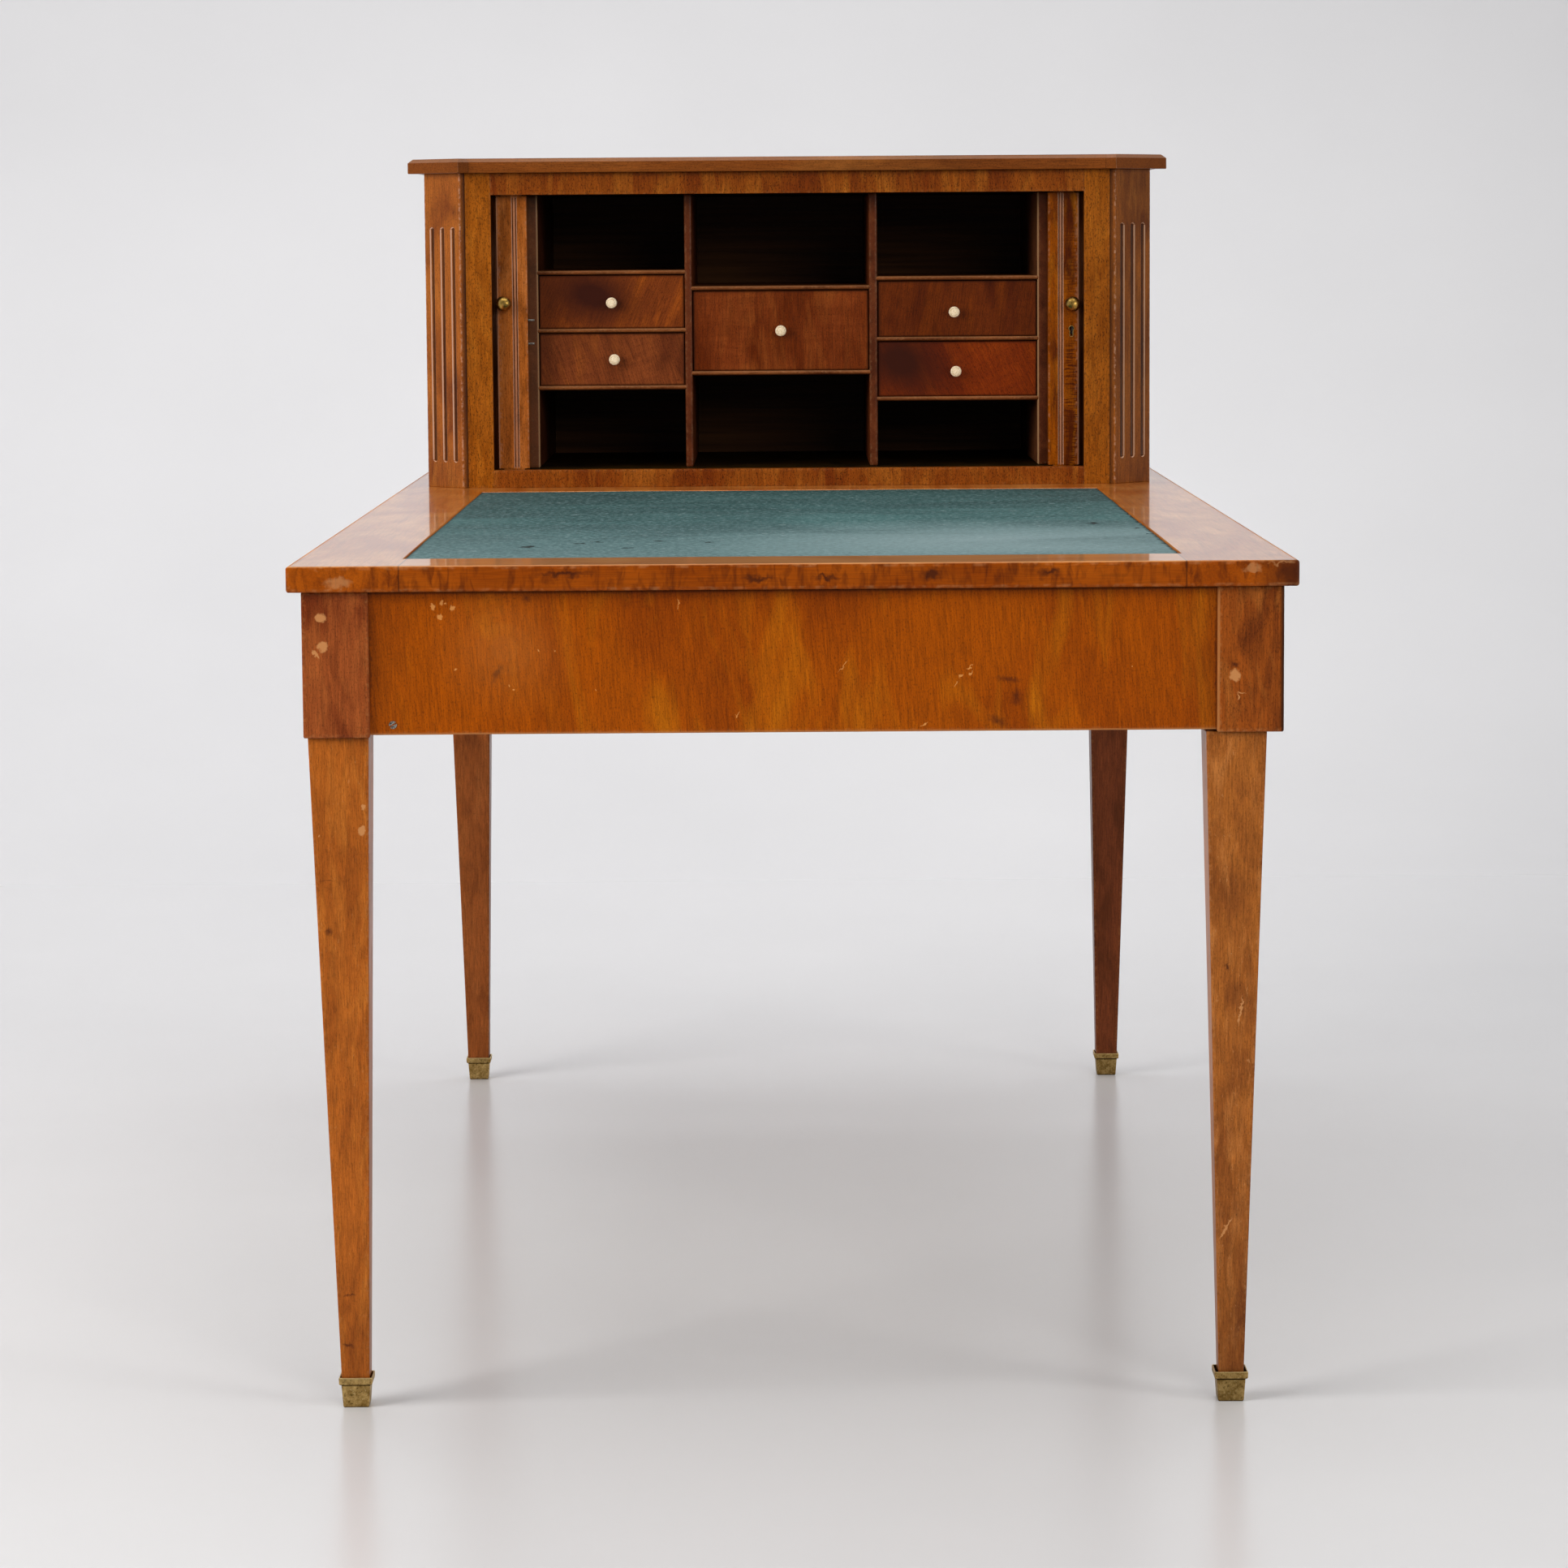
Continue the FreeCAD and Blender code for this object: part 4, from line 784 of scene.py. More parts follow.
# The side towards the opening is painted dark, as shade.
rim = np.where((np.abs(points[:, 0]) < opening_half + 0.0006) & (points[:, 1] > front_face + 0.002), -1, rim)
piece("cabinet_stiles", (points, faces, rim), stile_finish, "cabinet_mahogany", "desk", "front_stiles")
# Mahogany cross-banding: fibres upright on a lying rail, in patches from red-brown to gold.
# The bottom rail is darker along its foot, as dust and painted shade.
rail_finish = mahogany("crossbanding_rails", "#6E3008", "#84420E", "#A25E1C", cut=(0.45, 0.15, 0.25),
                       patch=0.045, ribbon=0.006, ribbons=0.28, pores=0.75,
                       dark_marks=[((0.0, 0.42, 0.775), (0.6, 0.05, 0.02), 0, 0.2)])
for name, low, high in (("bottom", carcass_low, hollow_low), ("top", hollow_high, carcass_high)):
    shape = board(-opening_half, opening_half, front_face, front_inner, low, high, 0.0005)
    piece(name + "_rail", shape, rail_finish, "cabinet_mahogany", "desk", "front_rail_" + name)


# The cornice: a cap of mahogany board mitred round the front and sides, breaking forward over the
# pilasters, with a bevel along its upper edge. Glued and screwed down on the carcass.

def mitred(path, out):
    """A closed path set out sideways by each of several distances, its corners mitred."""
    ahead = np.roll(path, -1, axis=0) - path
    ahead = ahead / np.linalg.norm(ahead, axis=1, keepdims=True)
    normal = np.stack([ahead[:, 1], -ahead[:, 0]], axis=1)
    before = np.roll(normal, 1, axis=0)
    mitre = (normal + before) / (1 + (normal * before).sum(axis=1, keepdims=True))
    return path[None] + np.asarray(out)[:, None, None] * mitre[None]


right_half = np.concatenate([plan[1:5], [(side_out, side_back)]])
path = np.concatenate([right_half[::-1] * (-1, 1), right_half])
cornice_low, cornice_high, overhang, bevel, arris_lip = 1.125, 1.1415, 0.013, 0.004, 0.0007
profile = np.array([(-0.006, cornice_low), (overhang - 0.0006, cornice_low), (overhang, cornice_low + 0.0006),
                    (overhang, cornice_high - bevel - 0.0004), (overhang - 0.0003, cornice_high - bevel),
                    (overhang - bevel, cornice_high - 0.0003), (overhang - bevel - 0.0006, cornice_high),
                    (-0.006, cornice_high)])
corners = mitred(path, profile[:, 0])
ahead = np.roll(path, -1, axis=0) - path
ahead = arris_lip * ahead / np.linalg.norm(ahead, axis=1, keepdims=True)
plan_rows = np.stack([corners - np.roll(ahead, 1, axis=0), corners, corners + ahead], axis=2)
grid = raised(plan_rows.reshape(len(profile), -1, 2), profile[:, 1])
rim = np.zeros(grid.shape[:2])
# The top edge and the breaks over the pilasters are painted pale, as highlights, and the inner corners dark,
# as shade.
rim[1:6, 1::3] = np.array([0, -0.6, 1.5, 1.5, -0.6, -0.6, 1.5, 1.5, -0.6, 0])
rim[4:6] = 1.2
# Mahogany moulding, planed: fibres lie along it.
cornice_finish = mahogany("cornice", "#5E2E0C", "#763E14", "#885020", grain=0, cut=(0.7, 0.6, 0.1),
                          patch=0.14, rim_pale="#BE9878")
cornice = piece("cabinet_cornice", skin(grid, rim), cornice_finish, "cabinet_mahogany", "desk", "cornice")
cornice.data.polygons.foreach_set("use_smooth", np.zeros(len(cornice.data.polygons), bool))


# The nest: thin mahogany boards housed into one another, their front edges rounded, rubbed pale and in places
# painted with highlights.
# Two sides, two dividers and eight shelves make six pigeonholes and five drawer openings.
nest_front, nest_half, nest_side = 0.470, 0.289, 0.016
column_edges = {"left": (-0.289, -0.11947), "centre": (-0.11097, 0.09402), "right": (0.10352, 0.289)}
row_heights = {"left": (0.090, 0.061, 0.062), "centre": (0.106, 0.093), "right": (0.075, 0.064, 0.065)}
shelf_thickness, nose, housing = 0.005, 0.0022, 0.0025
shelf_levels = {column: hollow_low + np.cumsum(heights) + shelf_thickness * np.arange(len(heights))
                for column, heights in row_heights.items()}
# Mahogany, thin and hand-planed: dark inside, partly as painted shade, the nosing rubbed to tan.
nest_polish = {"patch": 0.04, "polish": 0.42, "coat": 0.1}
nest_finish = mahogany("nest", "#4A200C", "#5E2C14", "#6C381C", grain=1, cut=(0.3, 0.3, 0.3), rim_pale="#A8845E",
                       wear=0.12, **nest_polish)
shelf_finish = mahogany("nest_shelves", "#54280E", "#74401E", "#885028", grain=0, cut=(0.5, 0.3, 0.1),
                        rim_pale="#A87850", wear=0.3, **nest_polish)
points, faces, rim = joined([board(hand * nest_half, hand * (nest_half + nest_side), nest_front, back_inner,
                                   hollow_low, hollow_high, nose) for hand in hands.values()])
on_left, out = points[:, 0] < 0, np.abs(points[:, 0])
deep_inside = points[:, 1] > nest_front + 0.004
inner_face = out < nest_half + 0.002
# Painted light: the right side's inner face is pale, as if lit, and the left one dark, as shade; the left
# side's front edge is paler; the arrises to the front are pale all along, as painted highlights.
rim = np.where(inner_face & deep_inside, np.where(on_left, -0.7, 1.08), rim)
rim = np.where(~inner_face & ~deep_inside & on_left, 1.1, rim)
rim = np.where((out < nest_half + 0.0014) & ~deep_inside, 1.8, rim)
piece("nest_side_boards", (points, faces, rim), nest_finish, "nest_mahogany", "desk", "nest_sides")
dividers = [board(column_edges[a][1], column_edges[b][0], nest_front, back_inner, hollow_low, hollow_high,
                  nose) for a, b in (("left", "centre"), ("centre", "right"))]
piece("nest_divider_boards", joined(dividers), nest_finish, "nest_mahogany", "desk", "nest_dividers")
shelves = [board(x0 - housing, x1 + housing, nest_front, back_inner, z, z + shelf_thickness, nose)
           for column, (x0, x1) in column_edges.items() for z in shelf_levels[column]]
points, faces, rim = joined(shelves)
# The upper half of each nosing is painted pale, as a highlight, and the lower half dark, as shade.
middles = np.concatenate([shelf_levels[column] for column in column_edges]) + shelf_thickness / 2
above = points[:, 2] - middles[np.abs(points[:, 2][:, None] - middles).argmin(axis=1)]
rim = np.where(rim > 0, np.where(above > 0.001, 1.3, np.where(above < -0.001, -0.7, rim)), rim)
piece("nest_shelf_boards", (points, faces, rim), shelf_finish, "nest_mahogany", "desk", "nest_shelves")


# The five small drawers: fronts faced with figured mahogany, thin pine boxes nailed behind, and a
# turned bone knob with its tenon through the front.
drawer_gap, drawer_face, drawer_thickness, drawer_arris = 0.0008, 0.474, 0.010, 0.0009
# Column, shelf and the knob's shift. The knobs were set by eye, so most stand a little off the middle.
# Figured mahogany veneer, each front from another leaf: plum, red-brown and flame.
drawers = {
    "left_low": ("left", 0, (0.0028, 0.0), mahogany(
        "drawer_left_low", "#5C2A12", "#7C3E1C", "#8E4A1C", lean=18, cut=(0.1, 0.2, 0.3), patch=0.04,
        curl=0.25, polish=0.36)),
    "left_high": ("left", 1, (0.0, -0.001), mahogany(
        "drawer_left_high", "#6A300E", "#7C3A14", "#A45216", lean=-22, cut=(0.27, 0.5, 0.3), patch=0.06,
        curl=0.2, polish=0.36, darkening=1.0, dark_marks=[((-0.226, 0.474, 0.984), (0.08, 0.02, 0.05), 15)])),
    "centre": ("centre", 0, (0.0, 0.0), mahogany(
        "drawer_centre", "#5A2204", "#783612", "#88461A", cut=(0.8, 0.2, 0.6), patch=0.05, ribbon=0.003,
        curl=0.3, curl_pitch=0.008, polish=0.36)),
    "right_low": ("right", 0, (-0.0019, -0.0028), mahogany(
        "drawer_right_low", "#642206", "#762C06", "#923E0C", lean=25, cut=(0.4, 0.9, 0.7), patch=0.06,
        curl=0.3, polish=0.33, darkening=1.0, dark_marks=[((0.13, 0.474, 0.905), (0.085, 0.02, 0.06), 22)])),
    "right_high": ("right", 1, (-0.0038, -0.0038), mahogany(
        "drawer_right_high", "#461804", "#602808", "#703208", lean=-8, cut=(0.9, 0.4, 0.2), patch=0.05,
        curl=0.15, polish=0.36)),
}


def turned_bone(name):
    """Turned bone: ivory with faint canals and dirt in the hollows, waxed."""
    finish, tree, place = new_finish(name)
    canals = add(tree, "TexNoise", {"Vector": place, "Scale": 700.0, "Detail": 3.0})[0]
    rim = add(tree, "Attribute", {}, attribute_name="rim")["Fac"]
    tone = coated(tree, "#F0DFC0", ("#C9AE86", canals, 0.45, 0.72), ("#8A6A48", rim))
    bump = add(tree, "Bump", {"Height": canals, "Strength": 0.2, "Distance": 0.0002})[0]
    return finished(finish, tree, {"Base Color": tone, "Roughness": 0.35, "Normal": bump, "IOR": 1.54,
                                   "Subsurface Weight": 0.1, "Subsurface Radius": (0.002, 0.0014, 0.001)})


# Bone, turned and waxed: ivory, with a grey-brown line where hands never reach.
bone = turned_bone("turned_bone")
# Radius, distance out from the drawer's face and dirt: neck, hollow, swelling, flat crown with a turned ring.
bone_section = np.array([
    (0.0022, -0.004, 1), (0.0034, 0.0, 1), (0.0032, 0.0014, 0.9), (0.0033, 0.0026, 0.8),
    (0.0044, 0.0038, 0.3), (0.0058, 0.0048, 0), (0.0066, 0.0062, 0), (0.0068, 0.0076, 0),
    (0.0066, 0.0092, 0), (0.0060, 0.0102, 0), (0.0050, 0.0107, 0.1), (0.0046, 0.0106, 0.6),
    (0.0042, 0.0108, 0.1), (0.0024, 0.0110, 0), (0.0003, 0.0110, 0)])
bone_slim = 0.94
# Pine, planed thin: tan and clean inside the drawers.
drawer_pine = bare_pine("planed_pine_drawers", "#7A5632", "#A8845A", 1)
for drawer, (column, shelf, shift, finish) in drawers.items():
    body = "drawer_" + drawer
    x0, x1 = column_edges[column]
    z0, z1 = shelf_levels[column][shelf] + shelf_thickness, shelf_levels[column][shelf + 1] - drawer_gap
    points, faces, rim = board(x0 + drawer_gap, x1 - drawer_gap, drawer_face, drawer_face + drawer_thickness,
                               z0, z1, drawer_arris)
    # The front's arrises are painted dark, as shade under the shelves.
    shape = (points, faces, np.where(rim > 0, -0.7, 0))
    piece(drawer + "_drawer_front", shape, finish, "drawer_mahogany", body, body + "_front")
    x, z = np.array([x0 + x1, z0 + z1]) / 2 + shift
    points, faces, _ = turned(bone_section[:, :2] * (bone_slim, 1), x, drawer_face, z)
    shape = (points, faces, np.repeat(bone_section[:, 2], turned_steps))
    piece(drawer + "_drawer_knob", shape, bone, "bone", body, body + "_knob")
    dress(drawer_pine, body + "_box")


# The roll fronts' lead rails: mahogany uprights with a sunk bead, a tongue at each end running in the
# grooves, and a brass knob. The right one holds the lock and has its keyhole under the knob.
rail_in, rail_out, rail_face, rail_back, rail_arris = 0.300, 0.3355, 0.4415, 0.4555, 0.0009
rail_low, rail_high, groove_low, groove_high = 0.786, 1.099, 0.781, 1.104
tongue_in, tongue_out, tongue_face, tongue_back = 0.30575, 0.32975, 0.4416, 0.4494
bead_x, bead_half, bead_radius, bead_sink = 0.3144, 0.0024, 0.0016, 0.0014
knob_x = rail_out - 0.0088
knob_levels = {"left": 0.976, "right": 0.971}
key_level, key_radius, key_slot_half, key_slot, key_deep = 0.943, 0.0026, 0.0015, 0.0090, 0.007
# Holes are cut by points just past their edge, so that the outline's own points fall inside.
just_past = 1.02
# Plan of the right rail's face from its meeting edge outwards: flat, channel with a half-round bead, flat.
channel_floor = rail_face + bead_sink
channel = np.array([(-bead_half - 0.0016, rail_face), (-bead_half - 0.0003, rail_face),
                    (-bead_half, rail_face + 0.0004), (-bead_half, channel_floor)])
bead_angle = np.linspace(np.pi, 0, 13)
bead = np.stack([bead_radius * np.cos(bead_angle), channel_floor - bead_radius * np.sin(bead_angle)], axis=1)
face = np.concatenate([channel, bead, channel[::-1] * (-1, 1)]) + (bead_x, 0)
half_key = np.array([0.57, 0.62, 0.76, 0.9, 1.0, 1.08]) * key_radius
key_offsets = np.concatenate([-half_key[::-1], [0], half_key])
key_columns = np.stack([knob_x + key_offsets, np.full(len(key_offsets), rail_face)], axis=1)
inner_back, inner_front, outer_front, outer_back = np.array([(rail_in, rail_back), (rail_in, rail_face),
                                                             (rail_out, rail_face), (rail_out, rail_back)])
inner_corner = corner_points(inner_back, inner_front, outer_front, rail_arris)
outer_corner = corner_points(inner_front, outer_front, outer_back, rail_arris)
# The meeting edge of the right rail is bored for the strike's two pins.
pin_place, pin_levels, bore_radius, bore_depth = 0.451, (0.9295, 0.9565), 0.002, 0.008
bore_steps = np.array([-1.08, -1.0, -0.9, -0.7, -0.4, 0, 0.4, 0.7, 0.9, 1.0, 1.08]) * bore_radius
bore_columns = np.stack([np.full(len(bore_steps), rail_in), pin_place - bore_steps], axis=1)
outline = np.concatenate([[inner_back], bore_columns, inner_corner, face, key_columns, outer_corner,
                          [outer_back]])
corner_start = 1 + len(bore_columns)
key_start = corner_start + len(inner_corner) + len(face)
key_rows = np.concatenate([[-key_slot - 0.0002], np.linspace(-key_slot, -0.0026, 3),
                           np.linspace(-0.0025, key_radius, 17), [key_radius + 0.0002]])
levels = np.concatenate([[rail_low, rail_low + 0.001], pin_levels[0] + bore_steps, key_level + key_rows,
                         pin_levels[1] + bore_steps, [rail_high - 0.001, rail_high]])
up = (levels - key_level)[:, None]
in_round = key_offsets[None] ** 2 + up ** 2 < (just_past * key_radius) ** 2
in_slot = (np.abs(key_offsets)[None] < just_past * key_slot_half) & (up <= 0) & (up >= -key_slot)
key_depth = np.zeros((len(levels), len(outline)))
key_depth[:, key_start:key_start + len(key_offsets)] = key_deep * (in_round | in_slot)
from_pin = np.abs(levels[:, None] - np.array(pin_levels)).min(axis=1)[:, None]
in_bore = bore_steps[None] ** 2 + from_pin ** 2 < (just_past * bore_radius) ** 2
key_depth[:, 1:corner_start] = bore_depth * in_bore
rim_columns = np.zeros(len(outline))
rim_columns[corner_start + 1:corner_start + len(inner_corner) - 1] = 1
rim_columns[-1 - len(outer_corner):-2] = 1
# Painted light on the face: the channel's edges and the bead are pale, as highlights, the channel's floor
# dark, as shade, and the outer arris pale, as a highlight.
bead_start = corner_start + len(inner_corner) + 4
rim_columns[bead_start + 3:bead_start + 10] = 1.4
rim_columns[bead_start + np.array([-3, -2, 14, 15])] = 2.0
rim_columns[bead_start + np.array([-1, 0, 12, 13])] = -1
rim_columns[-len(outer_corner):-3] = 1.5
out_of_face = np.tile([0.0, -1.0], (len(outline), 1))
out_of_face[1:corner_start] = -1.0, 0.0
# The left rail is the same but for the holes.
rail_cuts = {"left": 0 * key_depth, "right": key_depth}
# Mahogany, planed and polished: reddish on the left, and on the right curled like a fiddle's back.
rail_finishes = {
    "left": mahogany("lead_rail_left", "#7A3E0E", "#A45A20", "#B46C34", cut=(0.25, 0.45, 0.65), patch=0.03,
                     rim_pale="#BE937C", wear=0.25),
    "right": mahogany("lead_rail_right", "#4E1C00", "#884200", "#98560A", cut=(0.65, 0.25, 0.45), patch=0.03,
                      curl=0.95, curl_pitch=0.0024, rim_pale="#C2967C", wear=0.25,
                      curl_place=[((0.327, 0.4415, 0.85), (0.011, 0.02, 0.11), 0),
                                  ((0.327, 0.4415, 1.02), (0.011, 0.02, 0.06), 0, 0.6)]),
}
# Brass, cast and turned: golden, bright where fingers polish it.
knob_brass = aged_brass("turned_brass_knob", "#C09A4E", "#8A6A30", "#E2C27A", 0.24, 0.004)
ball_radius, neck_radius, neck_length = 0.0091, 0.0040, 0.004
ball_angle = np.linspace(math.pi - math.asin(neck_radius / ball_radius), 0.03, 22)
ball = [(neck_radius, -0.004), (neck_radius + 0.0012, 0.0), (neck_radius + 0.0010, 0.0008),
        (neck_radius, 0.0014)]
ball += [(ball_radius * math.sin(a), neck_length + ball_radius * (1 + math.cos(a))) for a in ball_angle]
for side, hand in hands.items():
    body = "tambour_" + side
    cut = rail_cuts[side][:, ::hand]
    # The inside of the keyhole and the bores is painted dark, as shade.
    shape = carved((outline * (hand, 1))[::hand], out_of_face[::hand], levels, cut,
                   np.where(cut > 0, -1, rim_columns[None, ::hand]))
    tongues = [board(hand * tongue_in, hand * tongue_out, tongue_face, tongue_back, low, high, 0.0006)
               for low, high in ((groove_low, rail_low + 0.002), (rail_high - 0.002, groove_high))]
    piece(side + "_lead_rail", joined([shape] + tongues), rail_finishes[side], "tambour_mahogany", body,
          "tambour_rail_" + side)
    knob = turned(ball, hand * knob_x, rail_face, knob_levels[side])
    piece(side + "_roll_knob", knob, knob_brass, "brass", body, "tambour_knob_" + side)


# The keyhole's liner: a thin brass band, bent to the hole's outline and pressed in flush.
# Keys have kept its rim bright.
band_wide, band_proud, band_deep, band_arris = 0.0007, 0.0003, 0.003, 0.0001
slot_turn = math.asin(key_slot_half / key_radius)
round_turn = np.linspace(-np.pi / 2 + slot_turn, 1.5 * np.pi - slot_turn, 33)
foot_turn = np.linspace(np.pi, 2 * np.pi, 9)
foot = np.stack([key_slot_half * np.cos(foot_turn), -key_slot + 0.0008 * (1 + np.sin(foot_turn))], axis=1)
hole = np.concatenate([key_radius * np.stack([np.cos(round_turn), np.sin(round_turn)], axis=1), foot])
band = np.array([(band_wide, band_deep), (band_wide, band_arris - band_proud),
                 (band_wide - band_arris, -band_proud), (band_arris, -band_proud),
                 (0.0, band_arris - band_proud), (0.0, band_deep)])
rows = mitred(hole, band[:, 0])
band_grid = np.stack([knob_x + rows[..., 0], np.broadcast_to(rail_face + band[:, 1][:, None], rows.shape[:2]),
                      key_level + rows[..., 1]], axis=2)
shape = skin(band_grid, np.full(rows.shape[:2], 0.5), wrap=True)
piece("keyhole_liner", shape, knob_brass, "brass", "tambour_right")


# The curtains: mahogany slats glued on canvas, which run in the grooves behind the lead rail. Open, they
# lie round the corner along the cabinet's side; closed, they fill the opening up to the stile.
slat_pitch, slat_joint, slat_thickness, slat_cut, canvas = 0.014, 0.0006, 0.008, 0.002, 0.0008
travel, front_count, tail_count = 0.2997, 22, 21
canvas_face = rail_face + slat_thickness


def slat_section(count):
    """Distance along the curtain and height off the canvas of the slats' outer side, slat by slat: up one
    edge, over the cut corner, along the face and down again."""
    half = slat_joint / 2
    near_edge, far_edge, shoulder = half, slat_pitch - half, slat_thickness - slat_cut
    along = np.array([near_edge, near_edge, near_edge + slat_cut, far_edge - slat_cut, far_edge, far_edge])
    off = np.array([0, shoulder, slat_thickness, slat_thickness, shoulder, 0])
    start = slat_pitch * np.arange(count)[:, None]
    return (start + along[None]).reshape(-1), np.tile(off, count)


def upright(outline):
    """A plan raised between the grooves and closed at both ends."""
    levels = np.array([groove_low, groove_high])
    flat = np.zeros((2, len(outline)))
    return carved(outline, np.zeros_like(outline), levels, flat, flat)


# Mahogany slats, planed: fibres upright, one tone, painted darker than the rest, as the shade in the gap
# beside the lead rail.
slat_finish = mahogany("slats", "#280F02", "#3C1B06", "#48240A", cut=(0.35, 0.75, 0.15), patch=0.03, wear=0.0)
# Behind the stile the slats lie pressed together, so that the blend of the two bodies draws them out
# evenly: the place at rest is the one that the smooth step over this short way carries to the closed place.
gather_start, gather_end = 0.352, rail_out
sample = np.linspace(gather_start, gather_end, 6001)
t = (sample - gather_start) / (gather_end - gather_start)
closed = sample - travel * t * t * (3 - 2 * t)
along, off = slat_section(front_count)
closed_x = np.minimum(rail_out - travel + along, gather_start)
rest_x = np.interp(closed_x, closed[::-1], sample[::-1])
outer = np.stack([rest_x, canvas_face - off], axis=1)
inner = np.stack([rest_x[[-1, 0]], np.full(2, canvas_face + canvas)], axis=1)
front_plan = np.concatenate([outer, inner])
# Round the corner and along the side the slats stand as they are; this part draws in as the front closes.
corner_x, corner_y, corner_radius = 0.349, 0.4895, 0.040


def along_track(distance, off):
    """A point at a distance along the track from the corner's start and a height off the canvas: a quarter
    turn about the corner's centre, then straight back along the side."""
    turn = np.clip(distance / corner_radius, 0, np.pi / 2)
    reach = corner_radius + off
    back = np.maximum(distance - corner_radius * np.pi / 2, 0)
    return np.stack([corner_x + reach * np.sin(turn), corner_y - reach * np.cos(turn) + back], axis=1)


tail_along, tail_off = slat_section(tail_count)
tail_canvas = np.linspace(tail_along[-1], tail_along[0], 60)
tail_plan = np.concatenate([along_track(tail_along, tail_off), along_track(tail_canvas, -canvas)])
for side, hand in hands.items():
    shape = upright((front_plan * (hand, 1))[::-hand])
    curtain = piece(side + "_roll_curtain", shape, slat_finish, "tambour_mahogany", "desk",
                    "tambour_curtain_" + side)
    curtain.parent = None
    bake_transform(curtain)
    shape = upright((tail_plan * (hand, 1))[::hand])
    tail = piece(side + "_roll_curtain_tail", shape, slat_finish, "tambour_mahogany", "desk")
    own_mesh(tail)


# The lock: a steel case let into the back of the right rail with its bolt inside, and a strike with two
# pins on the left rail's meeting edge. The frame's own solids are these pieces.
dress(steel, "lock_case", "lock_bolt", "lock_strike")


# The studio: a pale floor that sweeps up into the backdrop, soft lamps, and a camera at eye level of
# someone seated well back from the table's near end.
floor_front, floor_back, sweep, wall_top, half_width, steps = -5.0, 1.0, 6.6, 6.5, 5.0, 64
# The sweep's slope grows by a smooth step along its length, so that no line shows where it begins.
share = (np.arange(steps) + 0.5) / steps
slope = np.pi / 2 * share * share * (3 - 2 * share)
run_y = floor_back + np.cumsum(np.concatenate([[0.0], np.cos(slope) * sweep / steps]))
run_z = np.cumsum(np.concatenate([[0.0], np.sin(slope) * sweep / steps]))
run_y = np.concatenate([[floor_front], run_y, run_y[-1:]])
run_z = np.concatenate([[0.0], run_z, [wall_top]])
stage_points = [(x, y, z) for y, z in zip(run_y.tolist(), run_z.tolist()) for x in (-half_width, half_width)]
first = 2 * np.arange(len(run_y) - 1)
stage_faces = np.stack([first, first + 1, first + 3, first + 2], axis=1).tolist()
backdrop_mesh = bpy.data.meshes.new("backdrop")
backdrop_mesh.from_pydata(stage_points, [], stage_faces)
backdrop_mesh.polygons.foreach_set("use_smooth", np.ones(len(stage_faces), bool))
# Painted floor and backdrop: pale grey, a little shine on the floor.
paint, tree, place = new_finish("grey_floor_paint")
cloud = add(tree, "TexNoise", {"Vector": place, "Scale": 2.2, "Detail": 4.0})[0]
tone = coated(tree, "#DCDCDE", ("#E3E3E5", cloud))
across, along, height = add(tree, "SeparateXYZ", {0: place})[:3]
rough = add(tree, "MapRange", {"Value": height, "From Max": 1.2, "To Min": 0.24, "To Max": 0.9})[0]
shader = add(tree, "BsdfPrincipled", {"Base Color": tone, "Roughness": rough, "IOR": 1.4})[0]
# Its far ends fade out, and from behind it is clear, so that the desk can be looked at from all round.
gone = add(tree, "NewGeometry", {})["Backfacing"]
aside = add(tree, "Math", {0: across}, operation="ABSOLUTE")[0]
for value, near, far in ((aside, 2.6, 4.6), (along, -2.4, -4.6)):
    fade = add(tree, "MapRange", {"Value": value, "From Min": near, "From Max": far},
               interpolation_type="SMOOTHSTEP")[0]
    gone = add(tree, "Math", {0: gone, 1: fade}, operation="MAXIMUM")[0]
clear = add(tree, "BsdfTransparent", {})[0]
shader = add(tree, "MixShader", {0: gone, 1: shader, 2: clear})[0]
add(tree, "OutputMaterial", {"Surface": shader})
backdrop_mesh.materials.append(paint)
backdrop = bpy.data.objects.new("backdrop", backdrop_mesh)
bpy.context.scene.collection.objects.link(backdrop)

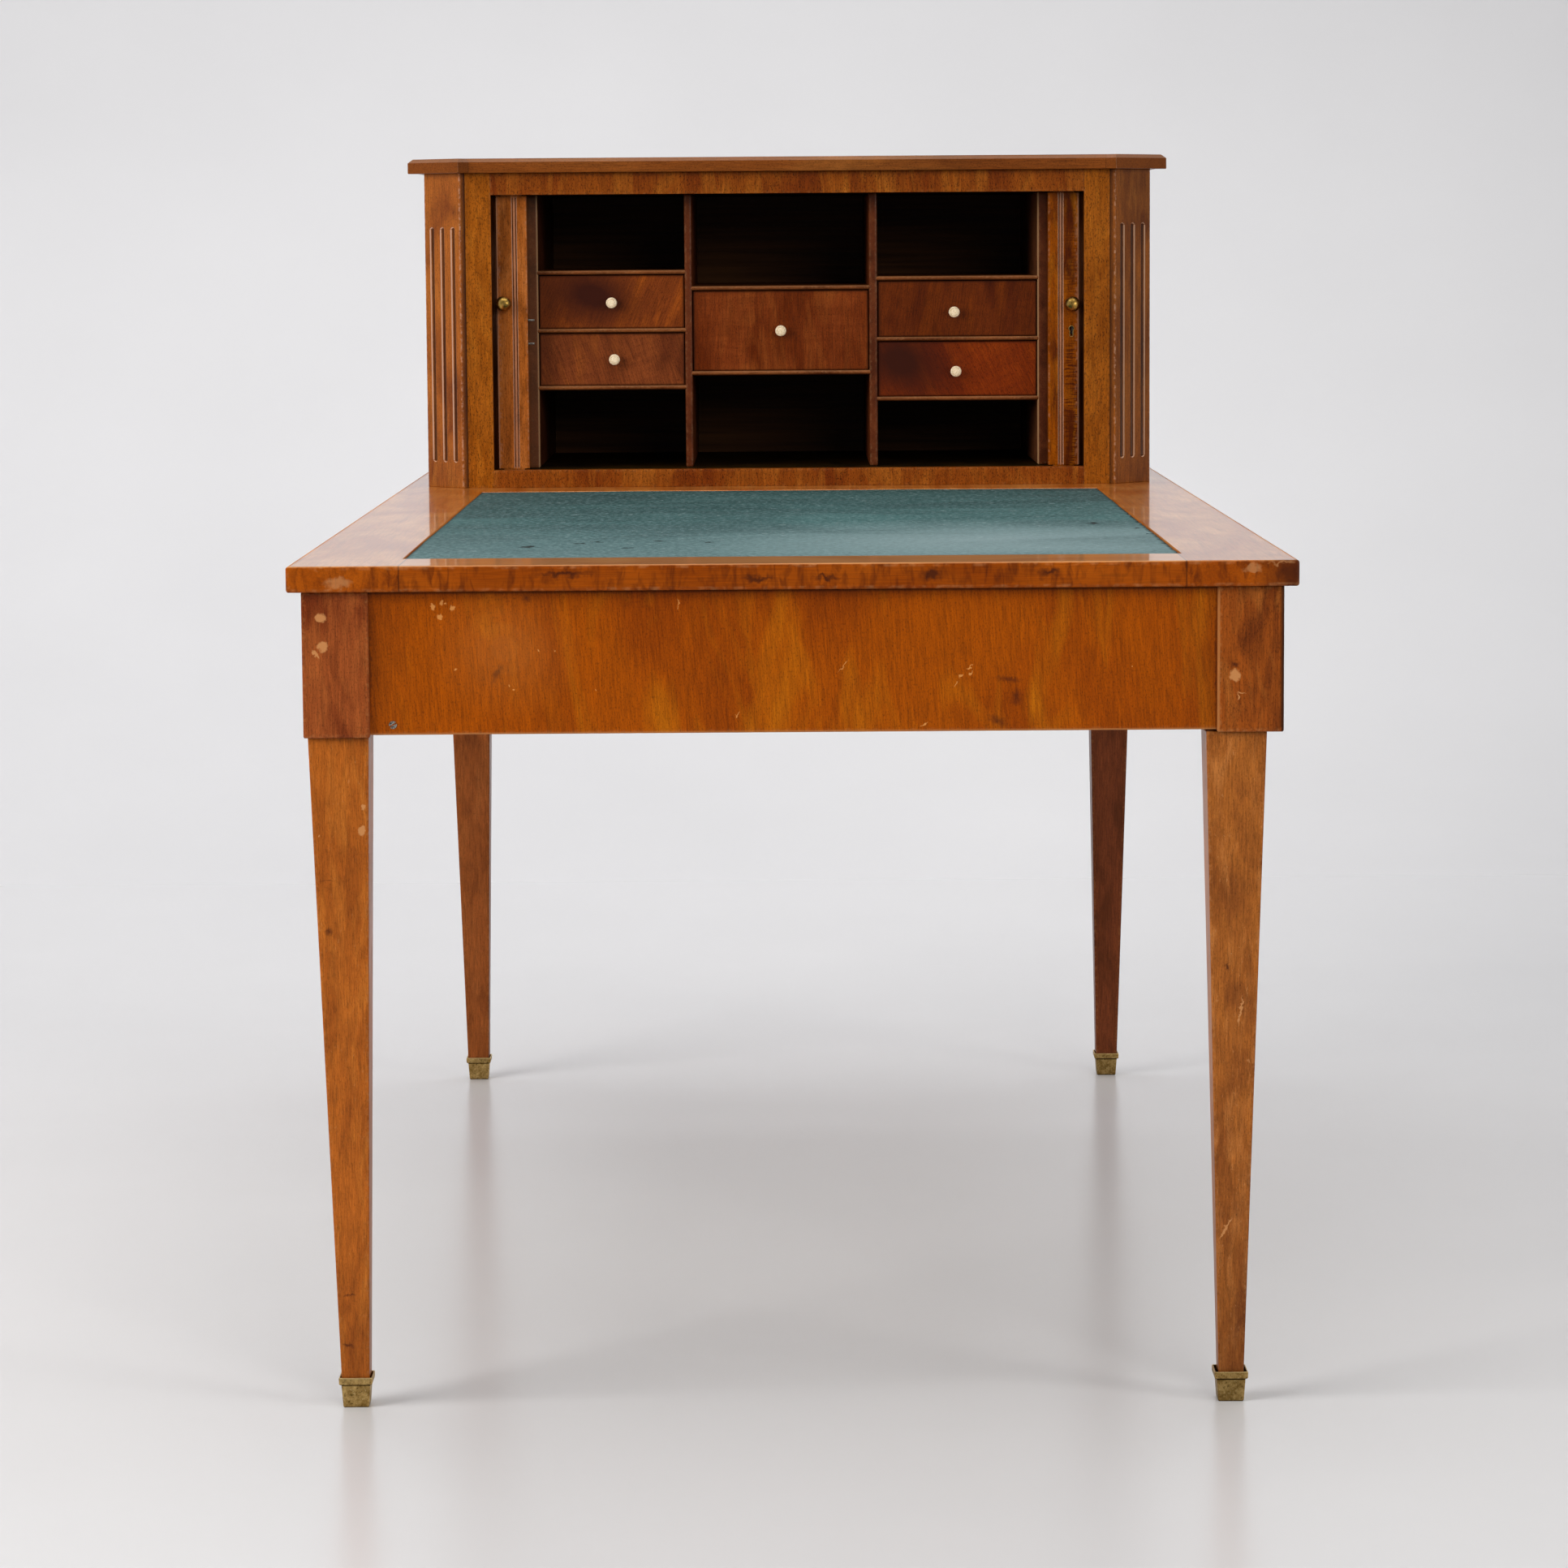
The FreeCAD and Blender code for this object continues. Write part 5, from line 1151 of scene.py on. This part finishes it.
# The air round it lights dimly, is brighter in polished faces, and looks pale beyond the backdrop.
world = bpy.data.worlds.new("studio")
bpy.context.scene.world = world
world.use_nodes = True
tree = world.node_tree
tree.nodes.clear()
ray = add(tree, "LightPath", {})
mirrored = add(tree, "Math", {0: ray["Is Glossy Ray"], 1: ray["Is Transmission Ray"]}, operation="MAXIMUM")[0]
mirrored = add(tree, "MapRange", {"Value": mirrored, "To Min": 0.1, "To Max": 0.5})[0]
shown = add(tree, "MapRange", {"Value": ray["Is Camera Ray"], "To Max": 0.86})[0]
level = add(tree, "Math", {0: mirrored, 1: shown}, operation="MAXIMUM")[0]
air = add(tree, "Background", {"Color": linear("#F2F3F6"), "Strength": level})[0]
add(tree, "OutputWorld", {"Surface": air})


def softbox(name, place, aim, width, height, watts, colour, mirrored=True):
    """A soft rectangular lamp at a place, turned towards a point, seen in polished faces or not."""
    lamp = bpy.data.lights.new(name, "AREA")
    lamp.shape, lamp.size, lamp.size_y = "RECTANGLE", width, height
    lamp.energy, lamp.color = watts, linear(colour)[:3]
    made = bpy.data.objects.new(name, lamp)
    bpy.context.scene.collection.objects.link(made)
    away = np.array(place) - np.array(aim)
    pan = math.atan2(away[0], -away[1])
    tip = math.atan2(math.hypot(away[0], away[1]), away[2])
    made.location, made.rotation_euler = place, (tip, 0, pan)
    made.visible_glossy = mirrored


softbox("key_lamp", (-4.0, -2.6, 2.3), (0, 0.0, 0.8), 3.0, 2.6, 210, "#FFFCF8", mirrored=False)
softbox("fill_lamp", (1.6, -5.6, 2.6), (0, 0.1, 0.75), 2.2, 2.2, 104, "#FFFDF8", mirrored=False)
softbox("overhead_lamp", (0.0, 0.2, 3.6), (0, 0.1, 0), 3.6, 3.6, 70, "#FFFFFF")
softbox("wall_lamp", (-0.8, 2.3, 2.6), (-0.8, 3.6, 0.2), 6.0, 0.8, 42, "#FEFDFF")
softbox("side_lamp", (3.8, -2.9, 1.7), (0.2, -0.1, 0.7), 1.4, 1.4, 52, "#FFFCF6")

camera_data = bpy.data.cameras.new("camera")
camera_data.lens, camera_data.sensor_width = 109.85, 36.0
camera = bpy.data.objects.new("camera", camera_data)
camera.location = (-0.010, -5.100, 1.0505)
camera.rotation_euler = (math.radians(83.473), math.radians(0.40), math.radians(-0.062))
bpy.context.scene.collection.objects.link(camera)
bpy.context.scene.camera = camera
bpy.context.scene.view_settings.view_transform = "Standard"
